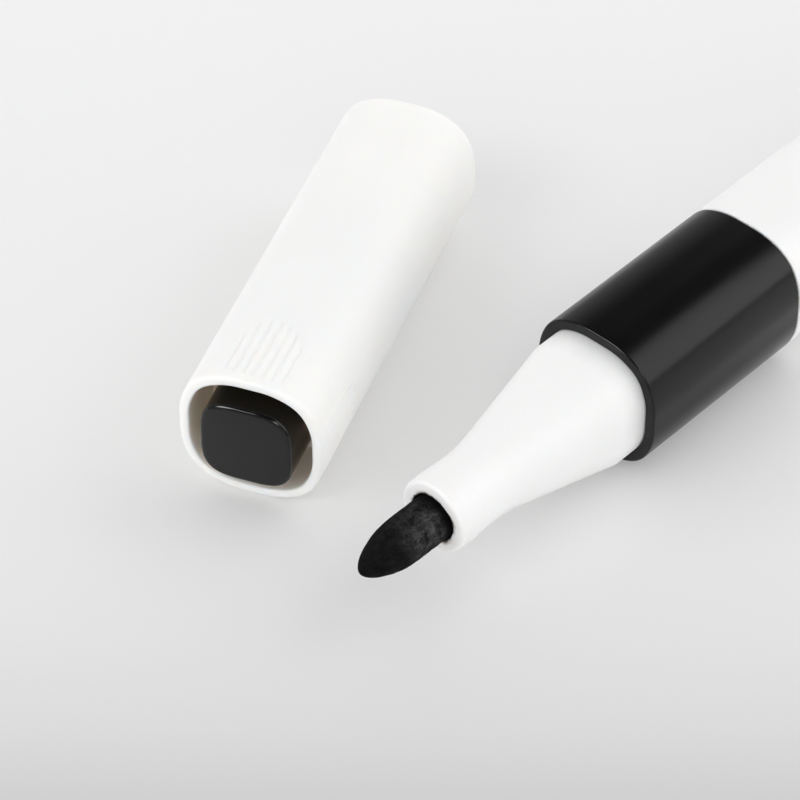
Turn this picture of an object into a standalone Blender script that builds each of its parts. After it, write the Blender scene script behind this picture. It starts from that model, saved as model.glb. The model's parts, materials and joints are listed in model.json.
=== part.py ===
"""Acrylic paint marker with a press-to-feed valve, lying uncapped on a table with its cap beside it.

The cap lies along X with its mouth towards +X, and the pen is turned a little from it, with its nib
towards -X. The table is z = 0, and the world origin is on the table under the middle of the barrel.
Stations along the pen are counted from the seat, the collar's front face that the cap closes against,
and stations along the cap from the rim of its closed end.
"""

import math

import bmesh
import bpy
from mathutils import Matrix, Vector

MM = 0.001

# Section shared by barrel, collar, tail plug and cap: a rounded square with a narrow flat on each side
SECTION_WIDTH = 13.5 * MM
SECTION_FLAT = 1.8 * MM
SECTION_SIDE_RADIUS = 7.0 * MM
SECTION_CORNER_RADIUS = 4.2 * MM

# Clearances
SEAM = 0.1 * MM
PRESS_GAP = 0.1 * MM
SLIDE_GAP = 0.15 * MM
SEAL_GAP = 0.08 * MM
BALL_GAP = 0.1 * MM
CAP_FIT_GAP = 0.23 * MM

# Cap
CAP_WALL = 0.85 * MM
CAP_NIB_ROOM = 0.75 * MM
CAP_EDGE_RADIUS = 0.35 * MM
CAP_RIM_RADIUS = 0.55 * MM
CAP_RIM_CHAMFER = 0.2 * MM
CAP_POCKET_DEPTH = 5.8 * MM
CAP_POCKET_WALL = 1.0 * MM
CAP_WEB = 1.0 * MM
CAP_VENT_RADIUS = 0.55 * MM
CAP_VENT_COUNT = 4
PLUG_WIDTH = 8.57 * MM
PLUG_CORNER_RADIUS = 2.3 * MM
PLUG_EDGE_RADIUS = 0.45 * MM
PLUG_PROUD = 1.15 * MM
PLUG_STEM_RADIUS = 1.5 * MM
PLUG_BARB_OVERHANG = 0.3 * MM
PLUG_BARB_LENGTH = 0.9 * MM
SEAL_CUP_WALL = 0.9 * MM
SEAL_CUP_FLOOR = 1.0 * MM
SEAL_CUP_RECESS = 1.5 * MM
SEAL_CUP_SKIRT = 2.6 * MM
SEAL_CUP_LIP_LENGTH = 3.0 * MM
SEAL_CUP_LIP_FLARE = 0.6 * MM
SEAL_CUP_PAST_BEAD = 2.0 * MM

# Nose
NOSE_LENGTH = 21.4 * MM
NOSE_BASE_LENGTH = 2.6 * MM
NOSE_SHANK_LENGTH = 7.0 * MM
NOSE_SPIGOT_LENGTH = 5.0 * MM
NOSE_WAIST_RADIUS = 3.5 * MM
NOSE_WAIST_BACK = 4.8 * MM
NOSE_BEAD_RADIUS = 3.62 * MM
NOSE_BEAD_BACK = 1.7 * MM
NOSE_LIP_EDGE = 0.45 * MM
NOSE_MOUTH_RADIUS = 2.4 * MM
NOSE_MOUTH_EDGE = 0.3 * MM
NOSE_MOUTH_DEPTH = 5.0 * MM
NOSE_CONE_RINGS = 7

# Nib and its holder
NIB_RADIUS = 2.2 * MM
NIB_EXPOSED = 9.05 * MM
NIB_POINT_LENGTH = 5.35 * MM
NIB_POINT_POWER = 1.73
NIB_POINT_RINGS = 9
NIB_CHAMFER = 0.4 * MM
HOLDER_WALL = 0.65 * MM
HOLDER_DEPTH = 5.6 * MM
HOLDER_FLOOR = 1.9 * MM
HOLDER_FLUTES = 4
HOLDER_FLUTE_DEPTH = 0.35 * MM
HOLDER_STOP_GAP = 0.3 * MM
NIB_TRAVEL = 2.0 * MM

# Collar
COLLAR_LENGTH = 20.2 * MM
COLLAR_EDGE_RADIUS = 0.15 * MM
COLLAR_RIB = 1.0 * MM

# Barrel and tail
BARREL_LENGTH = 82.0 * MM
BARREL_EDGE_RADIUS = 0.2 * MM
FRONT_BORE_RADIUS = 4.75 * MM
RESERVOIR_RADIUS = 4.4 * MM
TAIL_THICKNESS = 3.0 * MM
TAIL_EDGE_RADIUS = 0.9 * MM
TAIL_SPIGOT_LENGTH = 7.0 * MM
SEAL_GROOVE_WIDTH = 1.6 * MM
SEAL_GROOVE_DEPTH = 0.85 * MM
BALL_RADIUS = 3.0 * MM
BALL_FRONT_GAP = 1.3 * MM

# Valve
HOUSING_FRONT_WALL = 1.6 * MM
HOUSING_CAVITY_RADIUS = 3.2 * MM
HOUSING_LIP = 0.3 * MM
STEM_RADIUS = 1.2 * MM
STEM_FLOW_GAP = 0.5 * MM
SEAT_THICKNESS = 0.8 * MM
HEAD_RADIUS = 2.4 * MM
HEAD_THICKNESS = 1.4 * MM
GUIDE_RADIUS = 1.1 * MM
GUIDE_LENGTH = 3.0 * MM
SPRING_LENGTH = 7.0 * MM
SPRING_RADIUS = 1.85 * MM
SPRING_WIRE_RADIUS = 0.25 * MM
SPRING_TURNS = 6
SPRING_POINTS_PER_TURN = 9
RETAINER_THICKNESS = 1.4 * MM
RETAINER_BOSS_LENGTH = 1.3 * MM
RETAINER_HOLE_RADIUS = 0.6 * MM
RETAINER_HOLES = 4

# Layout on the table, from the seat
CAP_TURN = math.radians(22.75)
CAP_LIES_AHEAD = 25.1 * MM
CAP_LIES_ASIDE = 18.2 * MM
CAP_PUSH = 60.0 * MM

# Facets
FLAT_TO_CORNER_STEPS = 3
CORNER_STEPS = 6
ROUND_STEPS = 32
FILLET_STEPS = 3
SPRING_BEVEL_STEPS = 1

# Values that follow from the sizes above
HALF_WIDTH = SECTION_WIDTH / 2
CAP_INSIDE = HALF_WIDTH - CAP_WALL
NOSE_BASE_HALF = CAP_INSIDE - CAP_FIT_GAP
NIB_LENGTH_AHEAD = NOSE_LENGTH + NIB_EXPOSED
NOSE_BEAD_STATION = NOSE_LENGTH - NOSE_BEAD_BACK
NOSE_WAIST_STATION = NOSE_LENGTH - NOSE_WAIST_BACK
NOSE_BORE_RADIUS = NIB_RADIUS + SLIDE_GAP
HOLDER_RADIUS = NIB_RADIUS + PRESS_GAP + HOLDER_WALL
NOSE_CHAMBER_RADIUS = HOLDER_RADIUS + SLIDE_GAP
SPIGOT_RADIUS = FRONT_BORE_RADIUS - SLIDE_GAP
SPIGOT_REAR = NOSE_SHANK_LENGTH + NOSE_SPIGOT_LENGTH
COLLAR_RIB_FRONT = NOSE_SHANK_LENGTH + SEAM
NECK_FRONT = COLLAR_RIB_FRONT + COLLAR_RIB + SEAM
SHOULDER = COLLAR_LENGTH + SEAM
BARREL_REAR = SHOULDER + BARREL_LENGTH
BARREL_MIDDLE = SHOULDER + BARREL_LENGTH / 2
HOUSING_FRONT = SPIGOT_REAR + SEAM
CAVITY_FRONT = HOUSING_FRONT + HOUSING_FRONT_WALL
SEAT_WASHER_FRONT = CAVITY_FRONT + SEAM
HEAD_FRONT = SEAT_WASHER_FRONT + SEAT_THICKNESS + SEAM
HEAD_REAR = HEAD_FRONT + HEAD_THICKNESS
SPRING_FRONT = HEAD_REAR + SEAM
RETAINER_FRONT = SPRING_FRONT + SPRING_LENGTH + SEAM
RETAINER_REAR = RETAINER_FRONT + RETAINER_THICKNESS
HOUSING_REAR = RETAINER_REAR + SEAM + HOUSING_LIP
RESERVOIR_FRONT = HOUSING_REAR + SEAM
STEM_HOLE_RADIUS = STEM_RADIUS + STEM_FLOW_GAP
HOLDER_REAR = SPIGOT_REAR - NIB_TRAVEL - HOLDER_STOP_GAP
SOCKET_FLOOR = HOLDER_REAR - HOLDER_FLOOR
HOLDER_FRONT = SOCKET_FLOOR - HOLDER_DEPTH
NIB_REAR = SOCKET_FLOOR - PRESS_GAP
STEM_FRONT = HOLDER_REAR + SEAM
NOSE_CHAMBER_FRONT = HOLDER_FRONT - SLIDE_GAP
TAIL_FRONT = BARREL_REAR + SEAM
TAIL_REAR = TAIL_FRONT + TAIL_THICKNESS
TAIL_SPIGOT_FRONT = TAIL_FRONT - TAIL_SPIGOT_LENGTH
TAIL_SPIGOT_RADIUS = RESERVOIR_RADIUS - PRESS_GAP
BALL_STATION = HOUSING_REAR + BALL_FRONT_GAP + BALL_RADIUS
CAP_WEB_REAR = CAP_POCKET_DEPTH + CAP_WEB
PLUG_HOLE_RADIUS = PLUG_STEM_RADIUS + PRESS_GAP
SEAL_CUP_REAR = CAP_WEB_REAR + SEAM
SEAL_CUP_FLOOR_REAR = SEAL_CUP_REAR + SEAL_CUP_RECESS
SEAL_CUP_FLOOR_FRONT = SEAL_CUP_FLOOR_REAR + SEAL_CUP_FLOOR
CAP_LENGTH = SEAL_CUP_FLOOR_FRONT + CAP_NIB_ROOM + NIB_LENGTH_AHEAD - SEAM
CAPPED_RIM = -(CAP_LENGTH + SEAM)
SEAL_CUP_BORE = NOSE_BEAD_RADIUS + PRESS_GAP
SEAL_CUP_RADIUS = SEAL_CUP_BORE + SEAL_CUP_WALL
SEAL_CUP_FRONT = -CAPPED_RIM - NOSE_BEAD_STATION + SEAL_CUP_PAST_BEAD + SEAL_CUP_LIP_LENGTH


def clear_scene():
    """Remove every object that the scene starts with."""
    for item in list(bpy.data.objects):
        bpy.data.objects.remove(item, do_unlink=True)


def finish(name, colour, roughness, metallic=0.0):
    """Make a piece's own material."""
    made = bpy.data.materials.new(name)
    made.use_nodes = True
    shader = made.node_tree.nodes["Principled BSDF"]
    shader.inputs["Base Color"].default_value = (*colour, 1.0)
    shader.inputs["Roughness"].default_value = roughness
    shader.inputs["Metallic"].default_value = metallic
    return made


WHITE = (0.88, 0.87, 0.85)
BLACK = (0.012, 0.012, 0.013)
NATURAL = (0.80, 0.80, 0.77)
RUBBER = (0.03, 0.03, 0.03)
FELT = (0.010, 0.010, 0.011)
STEEL = (0.62, 0.62, 0.63)


def rounded_square(half, flat, side_radius, corner_radius):
    """Points of a rounded square, counter-clockwise: flats, side arcs and corner arcs, all tangent."""
    side_centre = half - side_radius
    reach = side_radius - corner_radius
    linear = side_centre + flat
    constant = side_centre**2 + flat**2 - reach**2
    corner_centre = (linear + math.sqrt(linear**2 - 2 * constant)) / 2
    turn = math.atan2(corner_centre - flat, corner_centre - side_centre)
    quarter = [(half, 0.0)]
    for step in range(FLAT_TO_CORNER_STEPS):
        angle = turn * step / FLAT_TO_CORNER_STEPS
        across, along = math.cos(angle), math.sin(angle)
        quarter.append((side_centre + side_radius * across, flat + side_radius * along))
    for step in range(CORNER_STEPS + 1):
        angle = turn + (math.pi / 2 - 2 * turn) * step / CORNER_STEPS
        across, along = math.cos(angle), math.sin(angle)
        quarter.append((corner_centre + corner_radius * across, corner_centre + corner_radius * along))
    for step in range(FLAT_TO_CORNER_STEPS - 1, -1, -1):
        angle = turn * step / FLAT_TO_CORNER_STEPS
        across, along = math.cos(angle), math.sin(angle)
        quarter.append((flat + side_radius * along, side_centre + side_radius * across))
    points = []
    for turns in range(4):
        cosine, sine = (1, 0, -1, 0)[turns], (0, 1, 0, -1)[turns]
        points += [(y * cosine - z * sine, y * sine + z * cosine) for y, z in quarter]
    return points


def body_section(half):
    """The body's section, or a wall's parallel section further in."""
    inset = HALF_WIDTH - half
    return rounded_square(
        half, SECTION_FLAT / 2, SECTION_SIDE_RADIUS - inset, SECTION_CORNER_RADIUS - inset
    )


def plug_section(half):
    """The end plug's own section, with tighter corners."""
    inset = PLUG_WIDTH / 2 - half
    return rounded_square(half, SECTION_FLAT / 2, SECTION_SIDE_RADIUS - inset, PLUG_CORNER_RADIUS - inset)


def circle(radius, steps=ROUND_STEPS):
    """Points of a circle, counter-clockwise."""
    return [
        (radius * math.cos(2 * math.pi * step / steps), radius * math.sin(2 * math.pi * step / steps))
        for step in range(steps)
    ]


def matched_circle(radius):
    """A circle whose points stand at the angles of the body section's points."""
    return [
        (radius * y / math.hypot(y, z), radius * z / math.hypot(y, z)) for y, z in body_section(HALF_WIDTH)
    ]


def between(first, second, share):
    """Points part of the way from one section to another of as many points."""
    return [
        (a[0] + (b[0] - a[0]) * share, a[1] + (b[1] - a[1]) * share) for a, b in zip(first, second)
    ]


def rounded_edge(station, half, radius, inward, section):
    """Rings round an outer edge, from the end face at this station to the full section."""
    rings = []
    for step in range(FILLET_STEPS + 1):
        angle = math.pi / 2 * step / FILLET_STEPS
        along = station + inward * radius * (1 - math.sin(angle))
        rings.append((along, section(half - radius * (1 - math.cos(angle)))))
    rings.reverse()
    return rings


def loft(name, rings, parent, skin, looped=False, sharp=math.radians(35)):
    """Join rings along X into one closed solid; a looped list closes on itself, another is capped."""
    shape = bmesh.new()
    loops = [[shape.verts.new((station, y, z)) for y, z in points] for station, points in rings]
    pairs = list(zip(loops, loops[1:]))
    if looped:
        pairs.append((loops[-1], loops[0]))
    for near, far in pairs:
        count = len(near)
        for index in range(count):
            following = (index + 1) % count
            shape.faces.new((near[index], near[following], far[following], far[index]))
    if not looped:
        shape.faces.new(loops[0])
        shape.faces.new(loops[-1])
    bmesh.ops.recalc_face_normals(shape, faces=shape.faces)
    return add_piece(name, shape, parent, skin, sharp)


def add_piece(name, shape, parent, skin, sharp=math.radians(35)):
    """Turn a finished bmesh into a named object that rides on its axis empty."""
    mesh = bpy.data.meshes.new(name)
    shape.to_mesh(mesh)
    shape.free()
    mesh.shade_smooth()
    mesh.set_sharp_from_angle(angle=sharp)
    mesh.materials.append(skin)
    piece = bpy.data.objects.new(name, mesh)
    piece.parent = parent
    bpy.context.collection.objects.link(piece)
    return piece


def add_axis(name, place, yaw=0.0, parent=None):
    """An empty that carries pieces on one axis."""
    axis = bpy.data.objects.new(name, None)
    axis.location = place
    axis.rotation_euler = (0.0, 0.0, yaw)
    axis.parent = parent
    bpy.context.collection.objects.link(axis)
    return axis


def add_drill(name, parent, holes, radius, front, rear):
    """A cutter of round holes along X; holes lists their places in the section."""
    shape = bmesh.new()
    length = rear - front
    for y, z in holes:
        turn = Matrix.Rotation(math.pi / 2, 4, "Y")
        place = Matrix.Translation(Vector((front + length / 2, y, z))) @ turn
        bmesh.ops.create_cone(
            shape,
            cap_ends=True,
            segments=ROUND_STEPS // 2,
            radius1=radius,
            radius2=radius,
            depth=length,
            matrix=place,
        )
    mesh = bpy.data.meshes.new(name)
    shape.to_mesh(mesh)
    shape.free()
    drill = bpy.data.objects.new(name, mesh)
    drill.parent = parent
    drill.hide_render = True
    drill.display_type = "WIRE"
    bpy.context.collection.objects.link(drill)
    return drill


def drilled(piece, drill):
    """Cut a drill's holes out of a piece."""
    cut = piece.modifiers.new(drill.name, "BOOLEAN")
    cut.operation = "DIFFERENCE"
    cut.solver = "EXACT"
    cut.object = drill


def around(count, radius, first):
    """Places of evenly spaced holes on a circle."""
    angles = [first + 2 * math.pi * step / count for step in range(count)]
    return [(radius * math.cos(angle), radius * math.sin(angle)) for angle in angles]


def build_nose(axis):
    """White nose: round spout, cone that turns into the rounded square, shank and spigot."""
    base = body_section(NOSE_BASE_HALF)
    lip = NOSE_BEAD_RADIUS - NOSE_LIP_EDGE
    rings = []
    for step in range(FILLET_STEPS + 1):
        angle = math.pi / 2 * step / FILLET_STEPS
        along = -NOSE_LENGTH + NOSE_LIP_EDGE * (1 - math.cos(angle))
        rings.append((along, matched_circle(lip + NOSE_LIP_EDGE * math.sin(angle))))
    rings.append((-NOSE_BEAD_STATION, matched_circle(NOSE_BEAD_RADIUS)))
    rings.append((-(NOSE_BEAD_STATION + NOSE_WAIST_STATION) / 2, matched_circle(
        (NOSE_BEAD_RADIUS + NOSE_WAIST_RADIUS) / 2
    )))
    waist = matched_circle(NOSE_WAIST_RADIUS)
    for step in range(NOSE_CONE_RINGS + 1):
        share = step / NOSE_CONE_RINGS
        along = -NOSE_WAIST_STATION + (NOSE_WAIST_STATION - NOSE_BASE_LENGTH) * share
        rings.append((along, between(waist, base, cone_share(share))))
    rings.append((NOSE_SHANK_LENGTH, base))
    rings.append((NOSE_SHANK_LENGTH, matched_circle(SPIGOT_RADIUS)))
    rings.append((SPIGOT_REAR, matched_circle(SPIGOT_RADIUS)))
    rings.append((SPIGOT_REAR, matched_circle(NOSE_CHAMBER_RADIUS)))
    rings.append((NOSE_CHAMBER_FRONT, matched_circle(NOSE_CHAMBER_RADIUS)))
    rings.append((NOSE_CHAMBER_FRONT, matched_circle(NOSE_BORE_RADIUS)))
    rings.append((NOSE_MOUTH_DEPTH - NOSE_LENGTH, matched_circle(NOSE_BORE_RADIUS)))
    rings.append((NOSE_MOUTH_DEPTH - NOSE_LENGTH, matched_circle(NOSE_MOUTH_RADIUS)))
    for step in range(FILLET_STEPS + 1):
        angle = math.pi / 2 * step / FILLET_STEPS
        along = -NOSE_LENGTH + NOSE_MOUTH_EDGE * (1 - math.sin(angle))
        rings.append((along, matched_circle(NOSE_MOUTH_RADIUS + NOSE_MOUTH_EDGE * (1 - math.cos(angle)))))
    loft("nose", rings, axis, finish("nose", WHITE, 0.35), looped=True)


def cone_share(share):
    """How far the nose has grown from its waist to its base: a soft start, then a straight cone."""
    soft = 0.22
    if share < soft:
        return share**2 / (2 * soft) / (1 - soft / 2)
    return (share - soft / 2) / (1 - soft / 2)


def build_nib(axis):
    """Black felt bullet nib, from its tip back to its seat in the holder."""
    tip = -NIB_LENGTH_AHEAD
    rings = []
    for step in range(1, NIB_POINT_RINGS + 1):
        angle = math.pi / 2 * step / NIB_POINT_RINGS
        radius = NIB_RADIUS * math.sin(angle) ** (2 / NIB_POINT_POWER)
        ahead = NIB_POINT_LENGTH * max(math.cos(angle), 0.0) ** (2 / NIB_POINT_POWER)
        rings.append((tip + NIB_POINT_LENGTH - ahead, circle(radius)))
    rings.append((NIB_REAR - NIB_CHAMFER, circle(NIB_RADIUS)))
    rings.append((NIB_REAR, circle(NIB_RADIUS - NIB_CHAMFER)))
    loft("nib", rings, axis, finish("nib", FELT, 0.95))


def build_nib_holder(axis):
    """Socket that carries the nib's rear end and pushes the valve stem, with flutes for the paint."""
    fluted = []
    per_flute = ROUND_STEPS // HOLDER_FLUTES
    for index, (y, z) in enumerate(circle(HOLDER_RADIUS)):
        depth = HOLDER_FLUTE_DEPTH if index % per_flute < 2 else 0.0
        scale = (HOLDER_RADIUS - depth) / HOLDER_RADIUS
        fluted.append((y * scale, z * scale))
    socket = circle(NIB_RADIUS + PRESS_GAP)
    rings = [
        (SOCKET_FLOOR, socket),
        (HOLDER_FRONT, socket),
        (HOLDER_FRONT, fluted),
        (HOLDER_REAR, fluted),
    ]
    loft("nib_holder", rings, axis, finish("nib_holder", NATURAL, 0.5))


def build_collar(axis):
    """Black collar: a sleeve whose inner rib is clamped between the nose and the barrel's neck."""
    outer = rounded_edge(0.0, HALF_WIDTH, COLLAR_EDGE_RADIUS, 1, body_section)
    outer += reversed(rounded_edge(COLLAR_LENGTH, HALF_WIDTH, COLLAR_EDGE_RADIUS, -1, body_section))
    inside = body_section(NOSE_BASE_HALF + PRESS_GAP)
    rib = matched_circle(FRONT_BORE_RADIUS)
    rings = outer + [
        (COLLAR_LENGTH, inside),
        (COLLAR_RIB_FRONT + COLLAR_RIB, inside),
        (COLLAR_RIB_FRONT + COLLAR_RIB, rib),
        (COLLAR_RIB_FRONT, rib),
        (COLLAR_RIB_FRONT, inside),
        (0.0, inside),
    ]
    loft("collar", rings, axis, finish("collar", BLACK, 0.22), looped=True)


def build_barrel(axis):
    """White barrel: neck under the collar, body, valve bore and paint reservoir."""
    neck = body_section(NOSE_BASE_HALF)
    rings = [(NECK_FRONT, neck), (SHOULDER, neck)]
    rings += rounded_edge(SHOULDER, HALF_WIDTH, BARREL_EDGE_RADIUS, 1, body_section)
    rings += reversed(rounded_edge(BARREL_REAR, HALF_WIDTH, BARREL_EDGE_RADIUS, -1, body_section))
    rings += [
        (BARREL_REAR, matched_circle(RESERVOIR_RADIUS)),
        (RESERVOIR_FRONT, matched_circle(RESERVOIR_RADIUS)),
        (RESERVOIR_FRONT, matched_circle(FRONT_BORE_RADIUS)),
        (NECK_FRONT, matched_circle(FRONT_BORE_RADIUS)),
    ]
    loft("barrel", rings, axis, finish("barrel", WHITE, 0.35), looped=True)


def seal_groove(front, radius, section):
    """Rings of an O-ring groove in a round spigot, front to rear."""
    floor = radius - SEAL_GROOVE_DEPTH
    return [
        (front, section(radius)),
        (front, section(floor)),
        (front + SEAL_GROOVE_WIDTH, section(floor)),
        (front + SEAL_GROOVE_WIDTH, section(radius)),
    ]


def build_seal(name, axis, groove_front, spigot_radius, bore_radius):
    """Rubber O-ring that fills the groove between a spigot and its bore."""
    floor = spigot_radius - SEAL_GROOVE_DEPTH
    middle = (floor + bore_radius) / 2
    thickness = (bore_radius - floor) / 2 - SEAL_GAP
    centre = groove_front + SEAL_GROOVE_WIDTH / 2
    steps = 10
    rings = []
    for step in range(steps):
        angle = 2 * math.pi * step / steps
        rings.append((centre + thickness * math.cos(angle), circle(middle + thickness * math.sin(angle))))
    loft(name, rings, axis, finish(name, RUBBER, 0.7), looped=True)


def build_tail(axis):
    """White tail plug with its O-ring."""
    groove_front = TAIL_SPIGOT_FRONT + (TAIL_SPIGOT_LENGTH - SEAL_GROOVE_WIDTH) / 2
    spigot = matched_circle(TAIL_SPIGOT_RADIUS)
    rings = [(TAIL_SPIGOT_FRONT, spigot)]
    rings += seal_groove(groove_front, TAIL_SPIGOT_RADIUS, matched_circle)
    rings.append((TAIL_FRONT, spigot))
    rings += rounded_edge(TAIL_FRONT, HALF_WIDTH, BARREL_EDGE_RADIUS, 1, body_section)
    rings += reversed(rounded_edge(TAIL_REAR, HALF_WIDTH, TAIL_EDGE_RADIUS, -1, body_section))
    loft("tail_plug", rings, axis, finish("tail_plug", WHITE, 0.35))
    build_seal("tail_seal", axis, groove_front, TAIL_SPIGOT_RADIUS, RESERVOIR_RADIUS)


def build_valve(axis):
    """Valve unit behind the nose: housing, seat, poppet, spring, retainer and the neck's O-ring."""
    groove_front = (HOUSING_FRONT + HOUSING_REAR - SEAL_GROOVE_WIDTH) / 2
    rings = [(HOUSING_FRONT, circle(SPIGOT_RADIUS))]
    rings += seal_groove(groove_front, SPIGOT_RADIUS, circle)
    rings += [
        (HOUSING_REAR, circle(SPIGOT_RADIUS)),
        (HOUSING_REAR, circle(HOUSING_CAVITY_RADIUS - HOUSING_LIP)),
        (RETAINER_REAR + SEAM, circle(HOUSING_CAVITY_RADIUS - HOUSING_LIP)),
        (RETAINER_REAR + SEAM, circle(HOUSING_CAVITY_RADIUS)),
        (CAVITY_FRONT, circle(HOUSING_CAVITY_RADIUS)),
        (CAVITY_FRONT, circle(STEM_HOLE_RADIUS)),
        (HOUSING_FRONT, circle(STEM_HOLE_RADIUS)),
    ]
    loft("valve_housing", rings, axis, finish("valve_housing", NATURAL, 0.5), looped=True)
    build_seal("neck_seal", axis, groove_front, SPIGOT_RADIUS, FRONT_BORE_RADIUS)

    washer_radius = HOUSING_CAVITY_RADIUS - PRESS_GAP
    washer = [
        (SEAT_WASHER_FRONT, circle(washer_radius)),
        (SEAT_WASHER_FRONT + SEAT_THICKNESS, circle(washer_radius)),
        (SEAT_WASHER_FRONT + SEAT_THICKNESS, circle(STEM_HOLE_RADIUS)),
        (SEAT_WASHER_FRONT, circle(STEM_HOLE_RADIUS)),
    ]
    loft("valve_seat", washer, axis, finish("valve_seat", RUBBER, 0.7), looped=True)

    poppet = [
        (STEM_FRONT, circle(STEM_RADIUS)),
        (HEAD_FRONT, circle(STEM_RADIUS)),
        (HEAD_FRONT, circle(HEAD_RADIUS)),
        (HEAD_REAR, circle(HEAD_RADIUS)),
        (HEAD_REAR, circle(GUIDE_RADIUS)),
        (HEAD_REAR + GUIDE_LENGTH, circle(GUIDE_RADIUS)),
    ]
    loft("valve_poppet", poppet, axis, finish("valve_poppet", NATURAL, 0.4))

    retainer_radius = HOUSING_CAVITY_RADIUS - PRESS_GAP
    boss_radius = GUIDE_RADIUS
    disc = [
        (RETAINER_FRONT - RETAINER_BOSS_LENGTH, circle(boss_radius)),
        (RETAINER_FRONT, circle(boss_radius)),
        (RETAINER_FRONT, circle(retainer_radius)),
        (RETAINER_REAR, circle(retainer_radius)),
    ]
    retainer = loft("spring_retainer", disc, axis, finish("spring_retainer", NATURAL, 0.5))
    hole_ring = (boss_radius + retainer_radius) / 2
    places = around(RETAINER_HOLES, hole_ring, 0.0)
    front, rear = RETAINER_FRONT - RETAINER_THICKNESS, RETAINER_REAR + RETAINER_THICKNESS
    drilled(retainer, add_drill("retainer_drill", axis, places, RETAINER_HOLE_RADIUS, front, rear))
    build_spring(axis)


def spring_path():
    """Centre line of the valve spring: one helix along X."""
    count = SPRING_TURNS * SPRING_POINTS_PER_TURN
    run = SPRING_LENGTH - 2 * SPRING_WIRE_RADIUS
    front = SPRING_FRONT + SPRING_WIRE_RADIUS
    path = []
    for index in range(count + 1):
        angle = 2 * math.pi * index / SPRING_POINTS_PER_TURN
        along = front + run * index / count
        path.append(Vector((along, SPRING_RADIUS * math.cos(angle), SPRING_RADIUS * math.sin(angle))))
    return path


def build_spring(axis):
    """Steel valve spring, one unbroken wire, with its least gap to itself measured and printed."""
    path = spring_path()
    wire = bpy.data.curves.new("valve_spring", "CURVE")
    wire.dimensions = "3D"
    wire.bevel_depth = SPRING_WIRE_RADIUS
    wire.bevel_resolution = SPRING_BEVEL_STEPS
    wire.use_fill_caps = True
    spline = wire.splines.new("POLY")
    spline.points.add(len(path) - 1)
    for point, place in zip(spline.points, path):
        point.co = (*place, 1.0)
    wire.materials.append(finish("valve_spring", STEEL, 0.3, 1.0))
    spring = bpy.data.objects.new("valve_spring", wire)
    spring.parent = axis
    bpy.context.collection.objects.link(spring)
    apart = SPRING_POINTS_PER_TURN // 2
    least = min(
        (first - second).length
        for index, first in enumerate(path)
        for second in path[index + apart:]
    )
    print(f"valve_spring least gap to itself {(least - 2 * SPRING_WIRE_RADIUS) / MM:.2f} mm")


def build_ball(axis):
    """Steel mixing ball, lying in the bottom of the reservoir."""
    shape = bmesh.new()
    drop = RESERVOIR_RADIUS - BALL_RADIUS - BALL_GAP
    place = Matrix.Translation(Vector((BALL_STATION, 0.0, -drop)))
    bmesh.ops.create_uvsphere(shape, u_segments=24, v_segments=14, radius=BALL_RADIUS, matrix=place)
    add_piece("mixing_ball", shape, axis, finish("mixing_ball", STEEL, 0.2, 1.0))


def build_cap_shell(axis):
    """White cap shell: tube with a web that carries the end plug and lets air through at its corners."""
    inside = body_section(CAP_INSIDE)
    pocket = body_section(HALF_WIDTH - CAP_POCKET_WALL)
    rings = [(CAP_POCKET_DEPTH, pocket), (CAP_RIM_CHAMFER, pocket)]
    rings += rounded_edge(0.0, HALF_WIDTH, CAP_RIM_RADIUS, 1, body_section)
    rings += reversed(rounded_edge(CAP_LENGTH, HALF_WIDTH, CAP_EDGE_RADIUS, -1, body_section))
    rings += [(CAP_LENGTH, inside), (CAP_WEB_REAR, inside)]
    shell = loft("cap_shell", rings, axis, finish("cap_shell", WHITE, 0.35))
    front, rear = CAP_POCKET_DEPTH - CAP_WEB, CAP_WEB_REAR + CAP_WEB
    drilled(shell, add_drill("plug_drill", axis, [(0.0, 0.0)], PLUG_HOLE_RADIUS, front, rear))
    corner = max(math.hypot(y, z) for y, z in pocket)
    vent_ring = corner - CAP_VENT_RADIUS - PRESS_GAP
    vents = around(CAP_VENT_COUNT, vent_ring, math.pi / 4)
    drilled(shell, add_drill("vent_drill", axis, vents, CAP_VENT_RADIUS, front, rear))


def build_end_plug(axis):
    """Black colour plug in the cap's closed end, snapped into the web by a barbed stem."""
    half = PLUG_WIDTH / 2
    stem = PLUG_STEM_RADIUS
    barb = PLUG_HOLE_RADIUS + PLUG_BARB_OVERHANG
    barb_front = CAP_WEB_REAR + SEAM
    head_rear = CAP_POCKET_DEPTH - SEAM
    rings = rounded_edge(-PLUG_PROUD, half, PLUG_EDGE_RADIUS, 1, plug_section)
    rings += [
        (head_rear, plug_section(half)),
        (head_rear, matched_circle(stem)),
        (barb_front, matched_circle(stem)),
        (barb_front, matched_circle(barb)),
        (barb_front + PLUG_BARB_LENGTH, matched_circle(stem)),
    ]
    loft("cap_end_plug", rings, axis, finish("cap_end_plug", BLACK, 0.15))


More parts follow.
